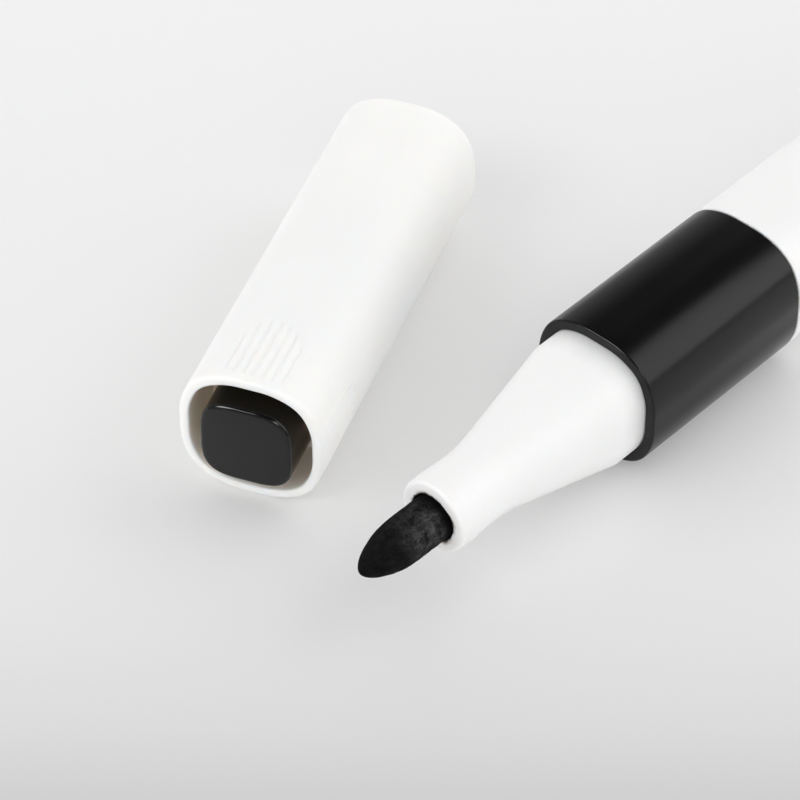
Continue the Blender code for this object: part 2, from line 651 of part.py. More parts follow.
def build_inner_seal(axis):
    """Soft inner cup that closes round the nose's bead and keeps the nib wet."""
    skirt = circle(CAP_INSIDE - PRESS_GAP)
    wall = circle(SEAL_CUP_RADIUS)
    bore = circle(SEAL_CUP_BORE)
    recess = circle(SEAL_CUP_RADIUS)
    lip_start = SEAL_CUP_FRONT - SEAL_CUP_LIP_LENGTH
    rings = [
        (SEAL_CUP_FLOOR_REAR, recess),
        (SEAL_CUP_REAR, recess),
        (SEAL_CUP_REAR, skirt),
        (SEAL_CUP_REAR + SEAL_CUP_SKIRT, skirt),
        (SEAL_CUP_REAR + SEAL_CUP_SKIRT, wall),
        (lip_start, wall),
        (SEAL_CUP_FRONT, circle(SEAL_CUP_RADIUS + SEAL_CUP_LIP_FLARE / 2)),
        (SEAL_CUP_FRONT, circle(SEAL_CUP_BORE + SEAL_CUP_LIP_FLARE)),
        (lip_start, bore),
        (SEAL_CUP_FLOOR_FRONT, bore),
    ]
    loft("cap_inner_seal", rings, axis, finish("cap_inner_seal", NATURAL, 0.5))


def swing_pole(rest, in_line, turn):
    """The plan point about which a turn carries the cap's rim from one place to another."""
    middle = (rest + in_line) / 2
    step = in_line - rest
    return middle + Vector((-step.y, step.x)) / (2 * math.tan(turn / 2))


def on_table(station, aside, height):
    """World place of a point given by its station along the pen, its offset and its height."""
    turn = Matrix.Rotation(-CAP_TURN, 3, "Z")
    return turn @ Vector((station - BARREL_MIDDLE, aside, 0.0)) + Vector((0.0, 0.0, height))


def report_frame(rim, pole):
    """Print the joints' places, the mounts' points and the cap's stations in world metres."""
    along = Vector((1.0, 0.0, 0.0))
    places = (
        ("cap swing pole", pole),
        ("tail face", on_table(TAIL_REAR, 0.0, HALF_WIDTH)),
        ("spring's fixed end", on_table(RETAINER_FRONT, 0.0, HALF_WIDTH)),
        ("cap rim", rim),
        ("cap seal's floor", rim + along * SEAL_CUP_FLOOR_FRONT),
        ("cap seal's lip", rim + along * SEAL_CUP_FRONT),
        ("cap mouth", rim + along * CAP_LENGTH),
    )
    for label, place in places:
        print(f"{label}: {place.x:.6f} {place.y:.6f} {place.z:.6f}")


def main():
    """Build the pen and the cap on their axes."""
    clear_scene()
    pen = add_axis("pen_axis", on_table(0.0, 0.0, HALF_WIDTH), -CAP_TURN)
    rest = Vector((-CAP_LIES_AHEAD, CAP_LIES_ASIDE))
    in_line = Vector((CAPPED_RIM - CAP_PUSH, 0.0))
    plan = swing_pole(rest, in_line, -CAP_TURN)
    pole = on_table(plan.x, plan.y, 0.0)
    swing = add_axis("cap_swing_axis", pole)
    rim = on_table(rest.x, rest.y, HALF_WIDTH)
    cap = add_axis("cap_axis", rim - pole, 0.0, swing)

    build_nose(pen)
    build_nib(pen)
    build_nib_holder(pen)
    build_collar(pen)
    build_barrel(pen)
    build_tail(pen)
    build_valve(pen)
    build_ball(pen)
    build_cap_shell(cap)
    build_end_plug(cap)
    build_inner_seal(cap)
    report_frame(rim, pole)


main()
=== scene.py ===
"""Dressed scene of an acrylic paint marker lying uncapped on a pale table, its cap beside it.

Each sub-assembly is a class that holds its sizes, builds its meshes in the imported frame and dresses
them. Finishes are small classes that make procedural materials, and effects that several finishes
share are shader node groups. Lengths are in metres; stations along the pen are counted from the seat,
the collar's front face, and stations along the cap from the rim of its closed end.

In the names of sizes, half is half the width across flats, edge the rounding of a corner, step the
width of an end face's outer ring, middle the half width of its innermost ring, count the points of each
ring, cells the noise cells per metre, and span the values over which an effect grows or fades.
"""

from __future__ import annotations

import json
import logging
import math
from dataclasses import asdict, dataclass, field, replace
from enum import Enum
from functools import reduce
from typing import Callable, Iterable, Sequence

import bmesh
import bpy
import numpy as np
from mathutils import Matrix, Vector, noise

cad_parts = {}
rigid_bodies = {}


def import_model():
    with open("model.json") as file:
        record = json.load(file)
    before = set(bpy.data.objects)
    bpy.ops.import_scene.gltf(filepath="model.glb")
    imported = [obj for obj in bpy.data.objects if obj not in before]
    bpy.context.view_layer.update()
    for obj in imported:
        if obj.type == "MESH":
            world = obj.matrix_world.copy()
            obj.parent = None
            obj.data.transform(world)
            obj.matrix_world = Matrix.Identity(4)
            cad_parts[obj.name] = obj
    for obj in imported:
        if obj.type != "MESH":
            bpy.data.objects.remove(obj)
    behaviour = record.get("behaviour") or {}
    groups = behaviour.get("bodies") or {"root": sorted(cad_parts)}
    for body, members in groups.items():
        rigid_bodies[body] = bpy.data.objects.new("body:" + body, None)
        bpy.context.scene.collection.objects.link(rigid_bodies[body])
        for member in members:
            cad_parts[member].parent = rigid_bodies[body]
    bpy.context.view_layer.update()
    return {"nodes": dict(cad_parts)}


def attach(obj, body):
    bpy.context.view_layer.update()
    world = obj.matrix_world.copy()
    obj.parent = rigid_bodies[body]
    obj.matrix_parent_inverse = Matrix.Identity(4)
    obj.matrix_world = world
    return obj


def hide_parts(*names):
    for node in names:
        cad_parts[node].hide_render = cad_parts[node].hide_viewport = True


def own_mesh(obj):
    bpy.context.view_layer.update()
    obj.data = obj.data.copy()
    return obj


LOG = logging.getLogger("marker")
MM = 0.001
# Gap between pieces that are fitted together.
SEAM = 0.1 * MM
# Difference below which two half widths count as the same.
TINY = 1e-8
# Angle in degrees above which an edge stays sharp.
SHARP = 40.0
# Half angle above which a corner counts as straight, and the most of a side that one rounding takes.
STRAIGHT = math.pi / 2 - 1e-4
MOST_OF_SIDE = 0.49
# Ranges that ramps map to, and the span that most noise values fill.
RISING = (0.0, 1.0)
FALLING = (1.0, 0.0)
NOISE_SPAN = (0.3, 0.7)
# Places of the colour sockets of a mix node.
MIX_FIRST, MIX_SECOND, MIX_RESULT = 6, 7, 2

Pair = tuple[float, float]
Triple = tuple[float, float, float]
Profile = list[Pair]
Stops = tuple[tuple[float, Triple], ...]
Rings = list[np.ndarray]
Piece = bpy.types.Object
Node = bpy.types.Node
Socket = bpy.types.NodeSocket


def grey(tone: float) -> Triple:
    """A neutral colour."""
    return (tone, tone, tone)


class Carrier(Enum):
    """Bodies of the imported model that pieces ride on."""

    PEN = "pen"
    NIB = "nib_unit"
    CAP = "cap"


class Slot(Enum):
    """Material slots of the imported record."""

    WHITE = "white_plastic"
    BLACK = "black_plastic"
    NATURAL = "natural_plastic"
    FELT = "nib_felt"
    STEEL = "spring_steel"


class Spot(Enum):
    """Where a piece's local X axis starts: on the pen's seat or on the cap's rim."""

    SEAT = "seat"
    RIM = "rim"


@dataclass(frozen=True)
class Layout:
    """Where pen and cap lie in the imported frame."""

    axis_height: float = 6.75 * MM  # height of both axes above the table
    pen_turn: float = math.radians(-22.75)  # angle of the pen's tail direction about Z
    seat_from_middle: float = 61.3 * MM  # distance from the barrel's middle, over the origin, to the seat
    rim: Pair = (-72.64 * MM, 50.196 * MM)  # place of the cap's closed rim on the table

    def matrix(self, spot: Spot) -> Matrix:
        """Frame of the pen or of the cap, with X along its axis.

        Args:
            spot: The frame's starting point.

        Returns:
            The frame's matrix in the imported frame.
        """
        lift = Vector((0.0, 0.0, self.axis_height))
        if spot is Spot.RIM:
            return Matrix.Translation(Vector((*self.rim, 0.0)) + lift)
        turn = Matrix.Rotation(self.pen_turn, 4, "Z")
        return Matrix.Translation(lift) @ turn @ Matrix.Translation((-self.seat_from_middle, 0.0, 0.0))


@dataclass(frozen=True)
class RoundedSquare:
    """Section of the body: flats, crowned sides and round corners, all tangent."""

    half: float = 6.75 * MM
    flat: float = 0.9 * MM  # half the length of each flat
    side_radius: float = 7.0 * MM
    corner_radius: float = 4.2 * MM
    side_points: int = 24  # points that a crowned side is measured by
    corner_points: int = 48  # points that a corner is measured by

    def inset(self, half: float) -> RoundedSquare:
        """The parallel section with another half width."""
        side, corner = (radius - (self.half - half) for radius in (self.side_radius, self.corner_radius))
        return replace(self, half=half, side_radius=side, corner_radius=corner)

    def outline(self, count: int) -> np.ndarray:
        """Points of the section, evenly spaced, counter-clockwise from +Y.

        Args:
            count: Number of points, a multiple of four.

        Returns:
            Array of count rows of y and z.
        """
        side_centre = self.half - self.side_radius
        reach = self.side_radius - self.corner_radius
        linear = side_centre + self.flat
        constant = side_centre**2 + self.flat**2 - reach**2
        corner = (linear + math.sqrt(linear**2 - 2 * constant)) / 2
        turn = math.atan2(corner - self.flat, corner - side_centre)
        rise = np.linspace(0.0, turn, self.side_points)
        bend = np.linspace(turn, math.pi / 2 - turn, self.corner_points)
        side = np.column_stack(
            (side_centre + self.side_radius * np.cos(rise), self.flat + self.side_radius * np.sin(rise))
        )
        round_corner = corner + self.corner_radius * np.column_stack((np.cos(bend), np.sin(bend)))
        path = np.vstack(([[self.half, 0.0]], side, round_corner[1:-1], side[::-1, ::-1], [[0.0, self.half]]))
        along = np.concatenate(([0.0], np.cumsum(np.linalg.norm(np.diff(path, axis=0), axis=1))))
        wanted = np.linspace(0.0, along[-1], count // 4, endpoint=False)
        quarter = np.column_stack([np.interp(wanted, along, path[:, column]) for column in (0, 1)])
        turns = [np.array(((c, s), (-s, c))) for c, s in ((1, 0), (0, 1), (-1, 0), (0, -1))]
        return np.vstack([quarter @ matrix for matrix in turns])


BODY = RoundedSquare()
PLUG = RoundedSquare(half=4.285 * MM, corner_radius=2.3 * MM)


def circle(radius: float, count: int) -> np.ndarray:
    """Points of a circle, counter-clockwise from +Y, as rows of y and z."""
    angle = np.linspace(0.0, 2 * math.pi, count, endpoint=False)
    return radius * np.column_stack((np.cos(angle), np.sin(angle)))


def on_circle(outline: np.ndarray, radius: float) -> np.ndarray:
    """A circle whose points stand at the angles of another outline's points."""
    return outline * (radius / np.linalg.norm(outline, axis=1))[:, None]


def rounded(corners: Sequence[Triple], steps: int = 6) -> Profile:
    """Round the corners of an open profile.

    Args:
        corners: Station, half width and corner radius of each corner.
        steps: Segments of each rounded corner.

    Returns:
        Station and half width of each point of the rounded profile.
    """
    points = [np.array(corner[:2]) for corner in corners]
    profile: Profile = [tuple(points[0])]
    for before, here, after, corner in zip(points, points[1:], points[2:], corners[1:]):
        back, ahead = before - here, after - here
        back_length, ahead_length = np.linalg.norm(back), np.linalg.norm(ahead)
        back, ahead = back / back_length, ahead / ahead_length
        half_angle = math.acos(float(np.clip(back @ ahead, -1.0, 1.0))) / 2
        if corner[2] <= 0.0 or half_angle > STRAIGHT:
            profile.append(tuple(here))
            continue
        cut = min(corner[2] / math.tan(half_angle), MOST_OF_SIDE * min(back_length, ahead_length))
        start, end = here + back * cut, here + ahead * cut
        for step in range(steps + 1):
            share = step / steps
            profile.append(tuple((1 - share) ** 2 * start + 2 * share * (1 - share) * here + share**2 * end))
    profile.append(tuple(points[-1]))
    return profile


def ring(station: float, outline: np.ndarray) -> np.ndarray:
    """An outline stood at a station, as rows of x, y and z."""
    return np.column_stack((np.full(len(outline), station), outline))


def rings_of(profile: Profile, section: Callable[[float], np.ndarray]) -> Rings:
    """Rings of a loft along X, with the section that belongs to each half width."""
    return [ring(station, section(half)) for station, half in profile]


def square_rings(corners: Sequence[Triple], count: int, steps: int = 6) -> Rings:
    """Rings of a rounded profile with the body's section."""
    return rings_of(rounded(corners, steps), lambda half: BODY.inset(half).outline(count))


def round_rings(corners: Sequence[Triple], base: np.ndarray, steps: int = 6) -> Rings:
    """Rings of a rounded profile with round sections, their points at the angles of a base outline."""
    return rings_of(rounded(corners, steps), lambda radius: on_circle(base, radius))


def shade_smooth(piece: Piece, sharp: float = SHARP) -> None:
    """Shade a piece smooth, apart from its sharp edges."""
    piece.data.shade_smooth()
    piece.data.set_sharp_from_angle(angle=math.radians(sharp))


def loft(name: str, rings: Rings, looped: bool = False, sharp: float = SHARP) -> Piece:
    """Join rings into one closed mesh object.

    Args:
        name: The piece's name.
        rings: Rings of as many points each.
        looped: True where the last ring joins the first; otherwise both ends are capped.
        sharp: Angle in degrees above which an edge stays sharp.

    Returns:
        The new object, linked to the scene.
    """
    count = len(rings[0])
    steps = np.arange(count)
    following = (steps + 1) % count
    faces: list[list[int]] = []
    last = len(rings) if looped else len(rings) - 1
    for index in range(last):
        near, far = index * count, (index + 1) % len(rings) * count
        faces += np.column_stack((near + steps, near + following, far + following, far + steps)).tolist()
    if not looped:
        faces.append(steps.tolist())
        faces.append((steps + (len(rings) - 1) * count).tolist())
    mesh = bpy.data.meshes.new(name)
    mesh.from_pydata(np.vstack(rings).tolist(), [], faces)
    shape = bmesh.new()
    shape.from_mesh(mesh)
    bmesh.ops.recalc_face_normals(shape, faces=shape.faces)
    shape.to_mesh(mesh)
    shape.free()
    piece = bpy.data.objects.new(name, mesh)
    bpy.context.scene.collection.objects.link(piece)
    shade_smooth(piece, sharp)
    return piece


def drill(piece: Piece, places: Iterable[Pair], radius: float, span: Pair, count: int = 32) -> Piece:
    """Cut round holes along X out of a piece's mesh.

    Args:
        piece: The piece to cut.
        places: Section places of the holes.
        radius: Their radius.
        span: Stations between which they run.
        count: Points round each hole.

    Returns:
        The same piece, shaded smooth again.
    """
    cutters = []
    for place in places:
        outline = circle(radius, count) + np.array(place)
        cutter = loft("drill", [ring(station, outline) for station in span])
        cut = piece.modifiers.new("drill", "BOOLEAN")
        cut.operation, cut.solver, cut.object = "DIFFERENCE", "EXACT", cutter
        cutters.append(cutter)
    evaluated = piece.evaluated_get(bpy.context.evaluated_depsgraph_get())
    mesh = bpy.data.meshes.new_from_object(evaluated)
    piece.modifiers.clear()
    piece.data = mesh
    for cutter in cutters:
        bpy.data.objects.remove(cutter, do_unlink=True)
    shade_smooth(piece)
    return piece


class Sockets:
    """Shorthand for making and joining nodes in one node tree."""

    def __init__(self, tree: bpy.types.NodeTree) -> None:
        """Keep the tree."""
        self.tree = tree

    def feed(self, target: Socket, source: object) -> None:
        """Join a socket to an input, or set the input to a plain value.

        Args:
            target: The input.
            source: The socket or the value; a colour comes without alpha.
        """
        if isinstance(source, bpy.types.NodeSocket):
            self.tree.links.new(source, target)
        elif target.type == "RGBA":
            target.default_value = (*source, 1.0)
        else:
            target.default_value = source

    def node(self, kind: str, inputs: dict[str | int, object] | None = None, **values: object) -> Node:
        """Add a node, set its properties and feed its inputs.

        Args:
            kind: The node's type name.
            inputs: What each input takes, by name or place.
            **values: Properties of the node.

        Returns:
            The new node.
        """
        made = self.tree.nodes.new(kind)
        for key, value in values.items():
            setattr(made, key, value)
        for label, source in (inputs or {}).items():
            self.feed(made.inputs[label], source)
        return made

    def place(self) -> Socket:
        """Coordinates in the piece's own frame."""
        return self.node("ShaderNodeTexCoord").outputs["Object"]

    def split(self, vector: Socket) -> bpy.types.NodeOutputs:
        """Sockets X, Y and Z of a vector."""
        return self.node("ShaderNodeSeparateXYZ", {"Vector": vector}).outputs

    def stretched(self, vector: Socket, scale: Triple) -> Socket:
        """Coordinates scaled axis by axis."""
        return self.node("ShaderNodeMapping", {"Vector": vector, "Scale": scale}).outputs["Vector"]

    def noise(self, vector: Socket, cells: Socket | float, detail: float, rough: float = 0.5) -> Socket:
        """Noise of so many cells per metre, with the weight of its finer octaves."""
        inputs = {"Vector": vector, "Scale": cells, "Detail": detail, "Roughness": rough}
        return self.node("ShaderNodeTexNoise", inputs).outputs["Fac"]

    def ramp(self, value: Socket, span: Pair, to: Pair = RISING) -> Socket:
        """Map a span of values to another range, clamped."""
        inputs = {"Value": value, "From Min": span[0], "From Max": span[1], "To Min": to[0], "To Max": to[1]}
        return self.node("ShaderNodeMapRange", inputs).outputs["Result"]

    def maths(self, operation: str, first: Socket, second: Socket | float = 0.0) -> Socket:
        """Result of an operation on one or two values."""
        return self.node("ShaderNodeMath", {0: first, 1: second}, operation=operation).outputs["Value"]

    def times(self, *factors: Socket) -> Socket:
        """Product of several values."""
        return reduce(lambda first, second: self.maths("MULTIPLY", first, second), factors)

    def measure(self, operation: str, first: Socket, second: Triple = (0.0, 0.0, 0.0)) -> Socket:
        """Value of a vector operation, such as a length, a distance or a dot product."""
        return self.node("ShaderNodeVectorMath", {0: first, 1: second}, operation=operation).outputs["Value"]

    def mix(self, share: Socket, first: Socket | Triple, second: Socket | Triple) -> Socket:
        """Mix two colours by the share of the second."""
        inputs = {"Factor": share, MIX_FIRST: first, MIX_SECOND: second}
        return self.node("ShaderNodeMix", inputs, data_type="RGBA").outputs[MIX_RESULT]

    def tones(self, value: Socket, stops: Stops) -> Socket:
        """Colours along a value.

        Args:
            value: The value from 0 to 1.
            stops: Place and colour of each stop, the first at 0 and the last at 1.

        Returns:
            The colour socket.
        """
        made = self.node("ShaderNodeValToRGB", {"Fac": value})
        elements = made.color_ramp.elements
        elements[0].color, elements[1].color = (*stops[0][1], 1.0), (*stops[-1][1], 1.0)
        for position, colour in stops[1:-1]:
            elements.new(position).color = (*colour, 1.0)
        return made.outputs["Color"]

    def bump(self, height: Socket, depth: float) -> Socket:
        """Normal of a relief whose height from 0 to 1 is so many metres deep."""
        return self.node("ShaderNodeBump", {"Distance": depth, "Height": height}).outputs["Normal"]


class EffectGroups:
    """Shader node groups that several finishes share, each built once."""

    TONE_CELLS = 90.0  # slow tone drift
    SATIN_CELLS = 420.0
    SATIN_STRETCH = (0.5, 1.0, 1.0)  # draws the satin patches out along X
    STREAKS = ((60.0, 2600.0, 2600.0), (1500.0, 120.0, 1700.0))  # cells of the two directions of hairlines
    LINE_SPAN = (0.72, 0.78)
    PATCH_CELLS = 260.0  # patches that hold hairlines
    PATCH_SPAN = (0.48, 0.62)
    DUST_CELLS = 900.0  # cells that may each hold a speck
    DUST_SPAN = (0.05, 0.09)  # distances from a cell's point
    RARE_CELLS = 700.0  # noise that thins the specks out
    RARE_SPAN = (0.6, 0.64)

    @staticmethod
    def _start(name: str, entry: str, leaves: Iterable[str]) -> tuple[Sockets, Socket, Node]:
        """Make a group with one value to set and several to put out.

        Args:
            name: The group's name.
            entry: Name of its input.
            leaves: Names of its outputs.

        Returns:
            A helper for its tree, the input's socket and the node that takes the outputs.
        """
        group = bpy.data.node_groups.new(name, "ShaderNodeTree")
        kind = "NodeSocketFloat"
        group.interface.new_socket(entry, in_out="INPUT", socket_type=kind)
        for label in leaves:
            group.interface.new_socket(label, in_out="OUTPUT", socket_type=kind)
        make = Sockets(group)
        return make, make.node("NodeGroupInput").outputs[entry], make.node("NodeGroupOutput")

    @classmethod
    def moulding(cls) -> bpy.types.NodeTree:
        """Moulded plastic: slow tone drift, satin patches and a fine eroded skin.

        Returns:
            The group, with Tone, Satin and Height outputs from 0 to 1.
        """
        if found := bpy.data.node_groups.get("moulding"):
            return found
        make, grain, leave = cls._start("moulding", "Grain Scale", ("Tone", "Satin", "Height"))
        place = make.place()
        tone = make.noise(place, cls.TONE_CELLS, detail=2.0)
        drawn = make.stretched(place, cls.SATIN_STRETCH)
        satin = make.noise(drawn, cls.SATIN_CELLS, detail=4.0, rough=0.6)
        make.feed(leave.inputs["Tone"], make.ramp(tone, NOISE_SPAN))
        make.feed(leave.inputs["Satin"], make.ramp(satin, NOISE_SPAN))
        make.feed(leave.inputs["Height"], make.noise(place, grain, detail=2.0))
        return make.tree

    @classmethod
    def handling(cls) -> bpy.types.NodeTree:
        """Handling marks: sparse hairlines in two directions and dust specks.

        Returns:
            The group, with Hairlines and Dust masks.
        """
        if found := bpy.data.node_groups.get("handling"):
            return found
        make, amount, leave = cls._start("handling", "Amount", ("Hairlines", "Dust"))
        place = make.place()
        streaks = [make.noise(make.stretched(place, cells), 1.0, detail=1.0) for cells in cls.STREAKS]
        lines = make.maths("MAXIMUM", *(make.ramp(streak, cls.LINE_SPAN) for streak in streaks))
        patch = make.ramp(make.noise(place, cls.PATCH_CELLS, detail=1.0), cls.PATCH_SPAN)
        make.feed(leave.inputs["Hairlines"], make.times(lines, patch, amount))
        cells = make.node("ShaderNodeTexVoronoi", {"Vector": place, "Scale": cls.DUST_CELLS}, feature="F1")
        speck = make.ramp(cells.outputs["Distance"], cls.DUST_SPAN, FALLING)
        rare = make.ramp(make.noise(place, cls.RARE_CELLS, detail=0.0), cls.RARE_SPAN)
        make.feed(leave.inputs["Dust"], make.times(speck, rare, amount))
        return make.tree


@dataclass(frozen=True, kw_only=True)
class Finish:
    """Base of all finishes, with their main colour and middle roughness."""

    colour: Triple
    roughness: float

    def material(self, name: str) -> bpy.types.Material:
        """Make this finish's material.

        Args:
            name: The material's name.

        Returns:
            The new material.
        """
        made = bpy.data.materials.new(name)
        made.use_nodes = True
        make = Sockets(made.node_tree)
        shader = made.node_tree.nodes["Principled BSDF"]
        for label, source in self.dress(make).items():
            make.feed(shader.inputs[label], source)
        return made

    def cover(self, mesh: bpy.types.Mesh, name: str) -> None:
        """Give a mesh this finish alone, as a material of that name."""
        mesh.materials.clear()
        mesh.materials.append(self.material(name))

    def dress(self, make: Sockets) -> dict[str, object]:
        """What the shader's inputs take: sockets that vary over the surface, or plain values."""
        raise NotImplementedError


@dataclass(frozen=True, kw_only=True)
class SkinFinish(Finish):
    """Base of finishes with satin patches, a fine skin and light handling marks."""

    satin: float = 0.06  # half spread of the roughness
    grain: float = 9000.0  # grain cells per metre
    depth: float = 0.004 * MM  # depth of the grain
    marks: float = 0.3  # amount of handling marks
    mark_rough: float = 0.3  # how much rougher they are

    def skin(self, make: Sockets) -> tuple[Node, Node, Socket]:
        """Add the skin, the handling marks and the roughness that the satin patches vary.

        Args:
            make: Helper of the material's tree.

        Returns:
            The groups of skin and marks, and the roughness.
        """
        skin = make.node("ShaderNodeGroup", {"Grain Scale": self.grain}, node_tree=EffectGroups.moulding())
        wear_and_sheen = make.node("ShaderNodeGroup", {"Amount": self.marks}, node_tree=EffectGroups.handling())
        rough = (self.roughness - self.satin, self.roughness + self.satin)
        return skin, wear_and_sheen, make.ramp(skin.outputs["Satin"], RISING, rough)


@dataclass(frozen=True, kw_only=True)
class MouldedPlastic(SkinFinish):
    """Moulded plastic whose tone drifts and whose handling marks have a colour of their own."""

    drift: Triple  # colour that the tone drifts to
    mark_colour: Triple  # colour of hairlines and dust
    glow: float = 0.0  # weight of light scattered under the skin
    glow_depth: float = 0.5 * MM  # how far it scatters
    glow_reach: Triple = (1.0, 0.83, 0.68)  # how far red, green and blue go of that
    specular: float = 0.5

    def dress(self, make: Sockets) -> dict[str, object]:
        """Tone, roughness, glow and skin of the plastic.

        Args:
            make: Helper of the material's tree.

        Returns:
            What the shader's inputs take.
        """
        skin, wear_and_sheen, satin = self.skin(make)
        tone = self.tinted(make, make.mix(skin.outputs["Tone"], self.colour, self.drift))
        marks = make.maths("MAXIMUM", wear_and_sheen.outputs["Hairlines"], wear_and_sheen.outputs["Dust"])
        return {
            "Base Color": make.mix(marks, tone, self.mark_colour),
            "Roughness": make.maths("ADD", satin, make.maths("MULTIPLY", marks, self.mark_rough)),
            "Specular IOR Level": self.specular,
            "Subsurface Weight": self.glow,
            "Subsurface Radius": self.glow_reach,
            "Subsurface Scale": self.glow_depth,
            "Normal": make.bump(skin.outputs["Height"], self.depth),
        }

    def tinted(self, make: Sockets, tone: Socket) -> Socket:
        """The plastic's colour with local tints, of which plain plastic has none."""
        return tone


@dataclass(frozen=True, kw_only=True)
class PaintedGlowHollow(MouldedPlastic):
    """White plastic with a warm glow of light through the wall painted on its inside faces."""

    painted_glow: Triple = (1.0, 0.88, 0.815)  # colour of the painted glow inside
    reach: float = 6.1 * MM  # half width at which the inside ends
    square: float = 4.0  # power that gives the inside its rounded-square shape
    wall: Pair = (0.85, 1.0)  # shares of the reach, to that power, over which the tint ends
    rim: Pair = (0.1 * MM, 0.7 * MM)  # stations over which the tint starts behind the rim
    pocket: Pair = (6.5 * MM, 9.75 * MM)  # stations over which it fades behind the pocket
    deep: float = 0.15  # share of it that is left beyond

    def tinted(self, make: Sockets, tone: Socket) -> Socket:
        """Paint a warm glow of light through the wall on the faces inside the rounded-square wall.

        Args:
            make: Helper of the material's tree.
            tone: The plain colour.

        Returns:
            The tinted colour.
        """
        place = make.split(make.stretched(make.place(), (1.0, 1 / self.reach, 1 / self.reach)))
        square = make.maths("ADD", *(make.maths("POWER", place[axis], self.square) for axis in "YZ"))
        inside = make.times(make.ramp(square, self.wall, FALLING), make.ramp(place["X"], self.rim))
        fading = make.ramp(place["X"], self.pocket, (1.0, self.deep))
        # The warm colour inside is a painted glow of light coming through the wall.
        return make.mix(make.times(inside, fading), tone, self.painted_glow)


@dataclass(frozen=True, kw_only=True)
class PaintedMouth(MouldedPlastic):
    """White nose whose mouth is stained by the paint that passes it."""

    stain: float = 2.44 * MM  # radius up to which paint covers the plastic
    covered: Pair = (-0.05 * MM, 0.1 * MM)  # where the full paint ends, from that radius
    washed: Pair = (0.0, 0.34 * MM)  # where its thin edge ends, from that radius
    ragged: float = 0.13 * MM  # how far the stain's edge wanders
    ragged_cells: float = 800.0
    patch_cells: float = 420.0  # patches of the thin edge
    patch_span: Pair = (0.42, 0.62)
    paint: Triple = grey(0.004)
    wash: Triple = (0.42, 0.36, 0.31)  # colour of the thin edge

    def tinted(self, make: Sockets, tone: Socket) -> Socket:
        """Stain the mouth, thick inside and washed out at the edge.

        Args:
            make: Helper of the material's tree.
            tone: The plain colour.

        Returns:
            The stained colour.
        """
        place = make.place()
        radius = make.measure("LENGTH", make.stretched(place, (0.0, 1.0, 1.0)))
        wander = make.noise(place, self.ragged_cells, detail=3.0, rough=0.6)
        edge = make.maths("ADD", radius, make.ramp(wander, NOISE_SPAN, (-self.ragged, self.ragged)))
        patch = make.ramp(make.noise(place, self.patch_cells, detail=2.0), self.patch_span)
        thick, thin = (
            make.ramp(edge, (self.stain + start, self.stain + end), FALLING)
            for start, end in (self.covered, self.washed)
        )
        return make.mix(thick, make.mix(make.times(thin, patch), tone, self.wash), self.paint)


@dataclass(frozen=True, kw_only=True)
class SoakedFelt(Finish):
    """Pressed fibre soaked with paint: strands along the nib, matted clumps, a painted sheen on one side and
    painted shade next to the mouth.
    """

    sheen: Triple = (0.128, 0.126, 0.128)  # colour of the painted sheen where the fibres catch the light
    wear_and_sheen: Triple = (-23.7 * MM, -1.7 * MM, 1.35 * MM)  # middle of the painted sheen
    spread: Pair = (0.6 * MM, 3.3 * MM)  # distances from there over which the painted sheen fades
    sheen_left: float = 0.17  # share of it that is left beyond
    tip: Pair = (-29.95 * MM, -25.95 * MM)  # stations behind the tip over which the lighter fibres grow back, darker towards the tip
    tip_share: float = 0.5  # share of the lighter fibres left at the tip
    mouth: Pair = (-22.5 * MM, -21.7 * MM)  # stations ahead of the mouth over which painted shade darkens the felt
    strand_cells: Triple = (900.0, 3600.0, 3600.0)  # along and across the nib
    clump_cells: float = 1130.0
    clump_span: Pair = (0.34, 0.66)
    fuzz_cells: float = 5200.0  # finest fibres
    fuzz_span: Pair = (0.3, 0.65)
    strand_least: float = 0.45  # light left between strands
    fuzz_least: float = 0.4  # light left between the finest fibres
    polish: float = 0.15  # how much smoother the clumps' hollows are
    fuzz_relief: float = 0.5  # weight of the finest fibres in the relief
    depth: float = 0.06 * MM  # depth of the fibre relief
    specular: float = 0.06

    def dress(self, make: Sockets) -> dict[str, object]:
        """Strands, clumps, the painted sheen on one side and the painted shade next to the mouth.

        Args:
            make: Helper of the material's tree.

        Returns:
            What the shader's inputs take.
        """
        place = make.place()
        station = make.split(place)["X"]
        away = make.measure("DISTANCE", place, self.wear_and_sheen)
        strand = make.noise(make.stretched(place, self.strand_cells), 1.0, detail=4.0, rough=0.7)
        clump = make.noise(place, self.clump_cells, detail=4.0, rough=0.65)
        fuzz = make.noise(place, self.fuzz_cells, detail=2.0, rough=0.6)
        # Lighter fibres: mottled strands, clumps and fuzz, times the painted sheen round one spot, fewer
        # towards the tip, and painted shade next to the mouth.
        light = make.times(
            make.ramp(clump, self.clump_span),
            make.ramp(strand, NOISE_SPAN, (self.strand_least, 1.0)),
            make.ramp(fuzz, self.fuzz_span, (self.fuzz_least, 1.0)),
            # painted sheen round one spot of the nib
            make.ramp(away, self.spread, (1.0, self.sheen_left)),
            make.ramp(station, self.tip, (self.tip_share, 1.0)),
            # painted shade next to the mouth
            make.ramp(station, self.mouth, FALLING),
        )
        fibres = make.maths("ADD", strand, clump)
        relief = make.maths("ADD", fibres, make.maths("MULTIPLY", fuzz, self.fuzz_relief))
        return {
            "Base Color": make.mix(light, self.colour, self.sheen),
            "Roughness": make.ramp(clump, NOISE_SPAN, (self.roughness - self.polish, self.roughness)),
            "Specular IOR Level": self.specular,
            "Normal": make.bump(relief, self.depth),
        }


